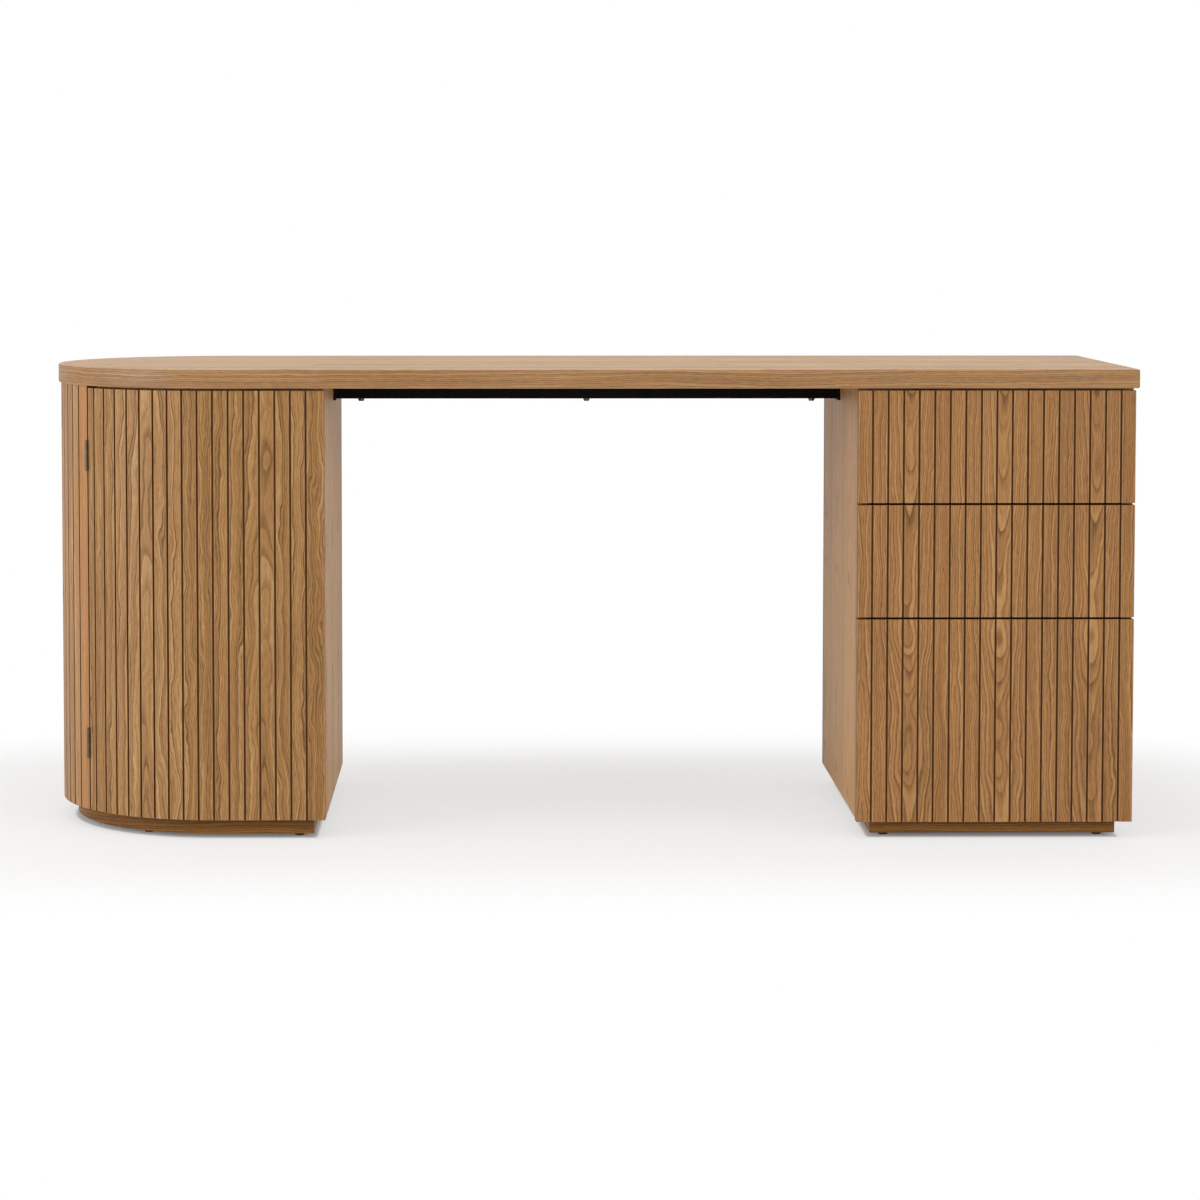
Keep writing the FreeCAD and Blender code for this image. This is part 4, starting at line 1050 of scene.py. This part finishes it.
def floor_finish():
    """Pale floor with shadows near the desk, shown white further out."""
    finish = Finish("pale_floor")
    x, y = finish.place()[:2]
    finish.finish(paint(*FLOOR_ALBEDO), FLOOR_ROUGHNESS, finish.noise(x, y, FLOOR_GRIT), FLOOR_RELIEF)
    round_foot = outside_round(x, y, *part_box("cupboard_plinth"))
    square_foot = outside(x, y, *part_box("drawer_unit_plinth"))
    contact = round_foot.at_most(square_foot).eased(0.0, CONTACT_WIDTH)
    lift = (contact * (1.0 - CONTACT_LIFT) + CONTACT_LIFT) * FLOOR_LIFT
    away = outside(x, y, cad_low, cad_high)
    share = away.eased(FADE_START, FADE_END) * (1.0 - FLOOR_LIFT) + lift
    white = finish.node("Emission")
    mixed = finish.node("MixShader")
    finish.feed(mixed.inputs[0], share * Field(finish, shown_white(finish.tree)))
    finish.tree.links.new(finish.shader.outputs[0], mixed.inputs[1])
    finish.tree.links.new(white.outputs[0], mixed.inputs[2])
    finish.tree.links.new(mixed.outputs[0], finish.tree.nodes["Material Output"].inputs["Surface"])
    return finish.material


floor_mesh = bpy.data.meshes.new("floor")
floor_mesh.from_pydata([(-FLOOR_HALF, -FLOOR_HALF, 0), (FLOOR_HALF, -FLOOR_HALF, 0),
                        (FLOOR_HALF, FLOOR_HALF, 0), (-FLOOR_HALF, FLOOR_HALF, 0)], [], [(0, 1, 2, 3)])
floor_mesh.materials.append(floor_finish())
floor = bpy.data.objects.new("floor", floor_mesh)
bpy.context.scene.collection.objects.link(floor)

world = bpy.data.worlds.new("studio")
bpy.context.scene.world = world
world.use_nodes = True
sky = world.node_tree
level = sky.nodes.new("ShaderNodeMapRange")
sky.links.new(shown_white(sky), level.inputs["Value"])
level.inputs["To Min"].default_value = ROOM_LEVEL
level.inputs["To Max"].default_value = 1.0
sky.nodes["Background"].inputs["Color"].default_value = ROOM_WHITE
sky.links.new(level.outputs["Result"], sky.nodes["Background"].inputs["Strength"])


def hang(name, softbox):
    """A square of soft light that faces a point."""
    lamp = bpy.data.lights.new(name, "AREA")
    lamp.size = softbox.size
    lamp.energy = softbox.power
    holder = bpy.data.objects.new(name, lamp)
    holder.location = softbox.place
    facing = Vector(softbox.target) - Vector(softbox.place)
    holder.rotation_euler = facing.to_track_quat("-Z", "Y").to_euler()
    bpy.context.scene.collection.objects.link(holder)


hang("left_softbox", LEFT_SOFTBOX)
hang("right_softbox", RIGHT_SOFTBOX)
hang("top_softbox", TOP_SOFTBOX)

camera = bpy.data.cameras.new("camera")
camera.lens = LENS
camera.sensor_width = SENSOR
camera.shift_x, camera.shift_y = SHIFT
stand = bpy.data.objects.new("camera", camera)
stand.location = CAMERA_PLACE
stand.rotation_euler = (math.pi / 2 - CAMERA_DOWN, 0.0, CAMERA_TURN)
bpy.context.scene.collection.objects.link(stand)
bpy.context.scene.camera = stand
bpy.context.scene.view_settings.view_transform = "Standard"

bpy.context.view_layer.update()
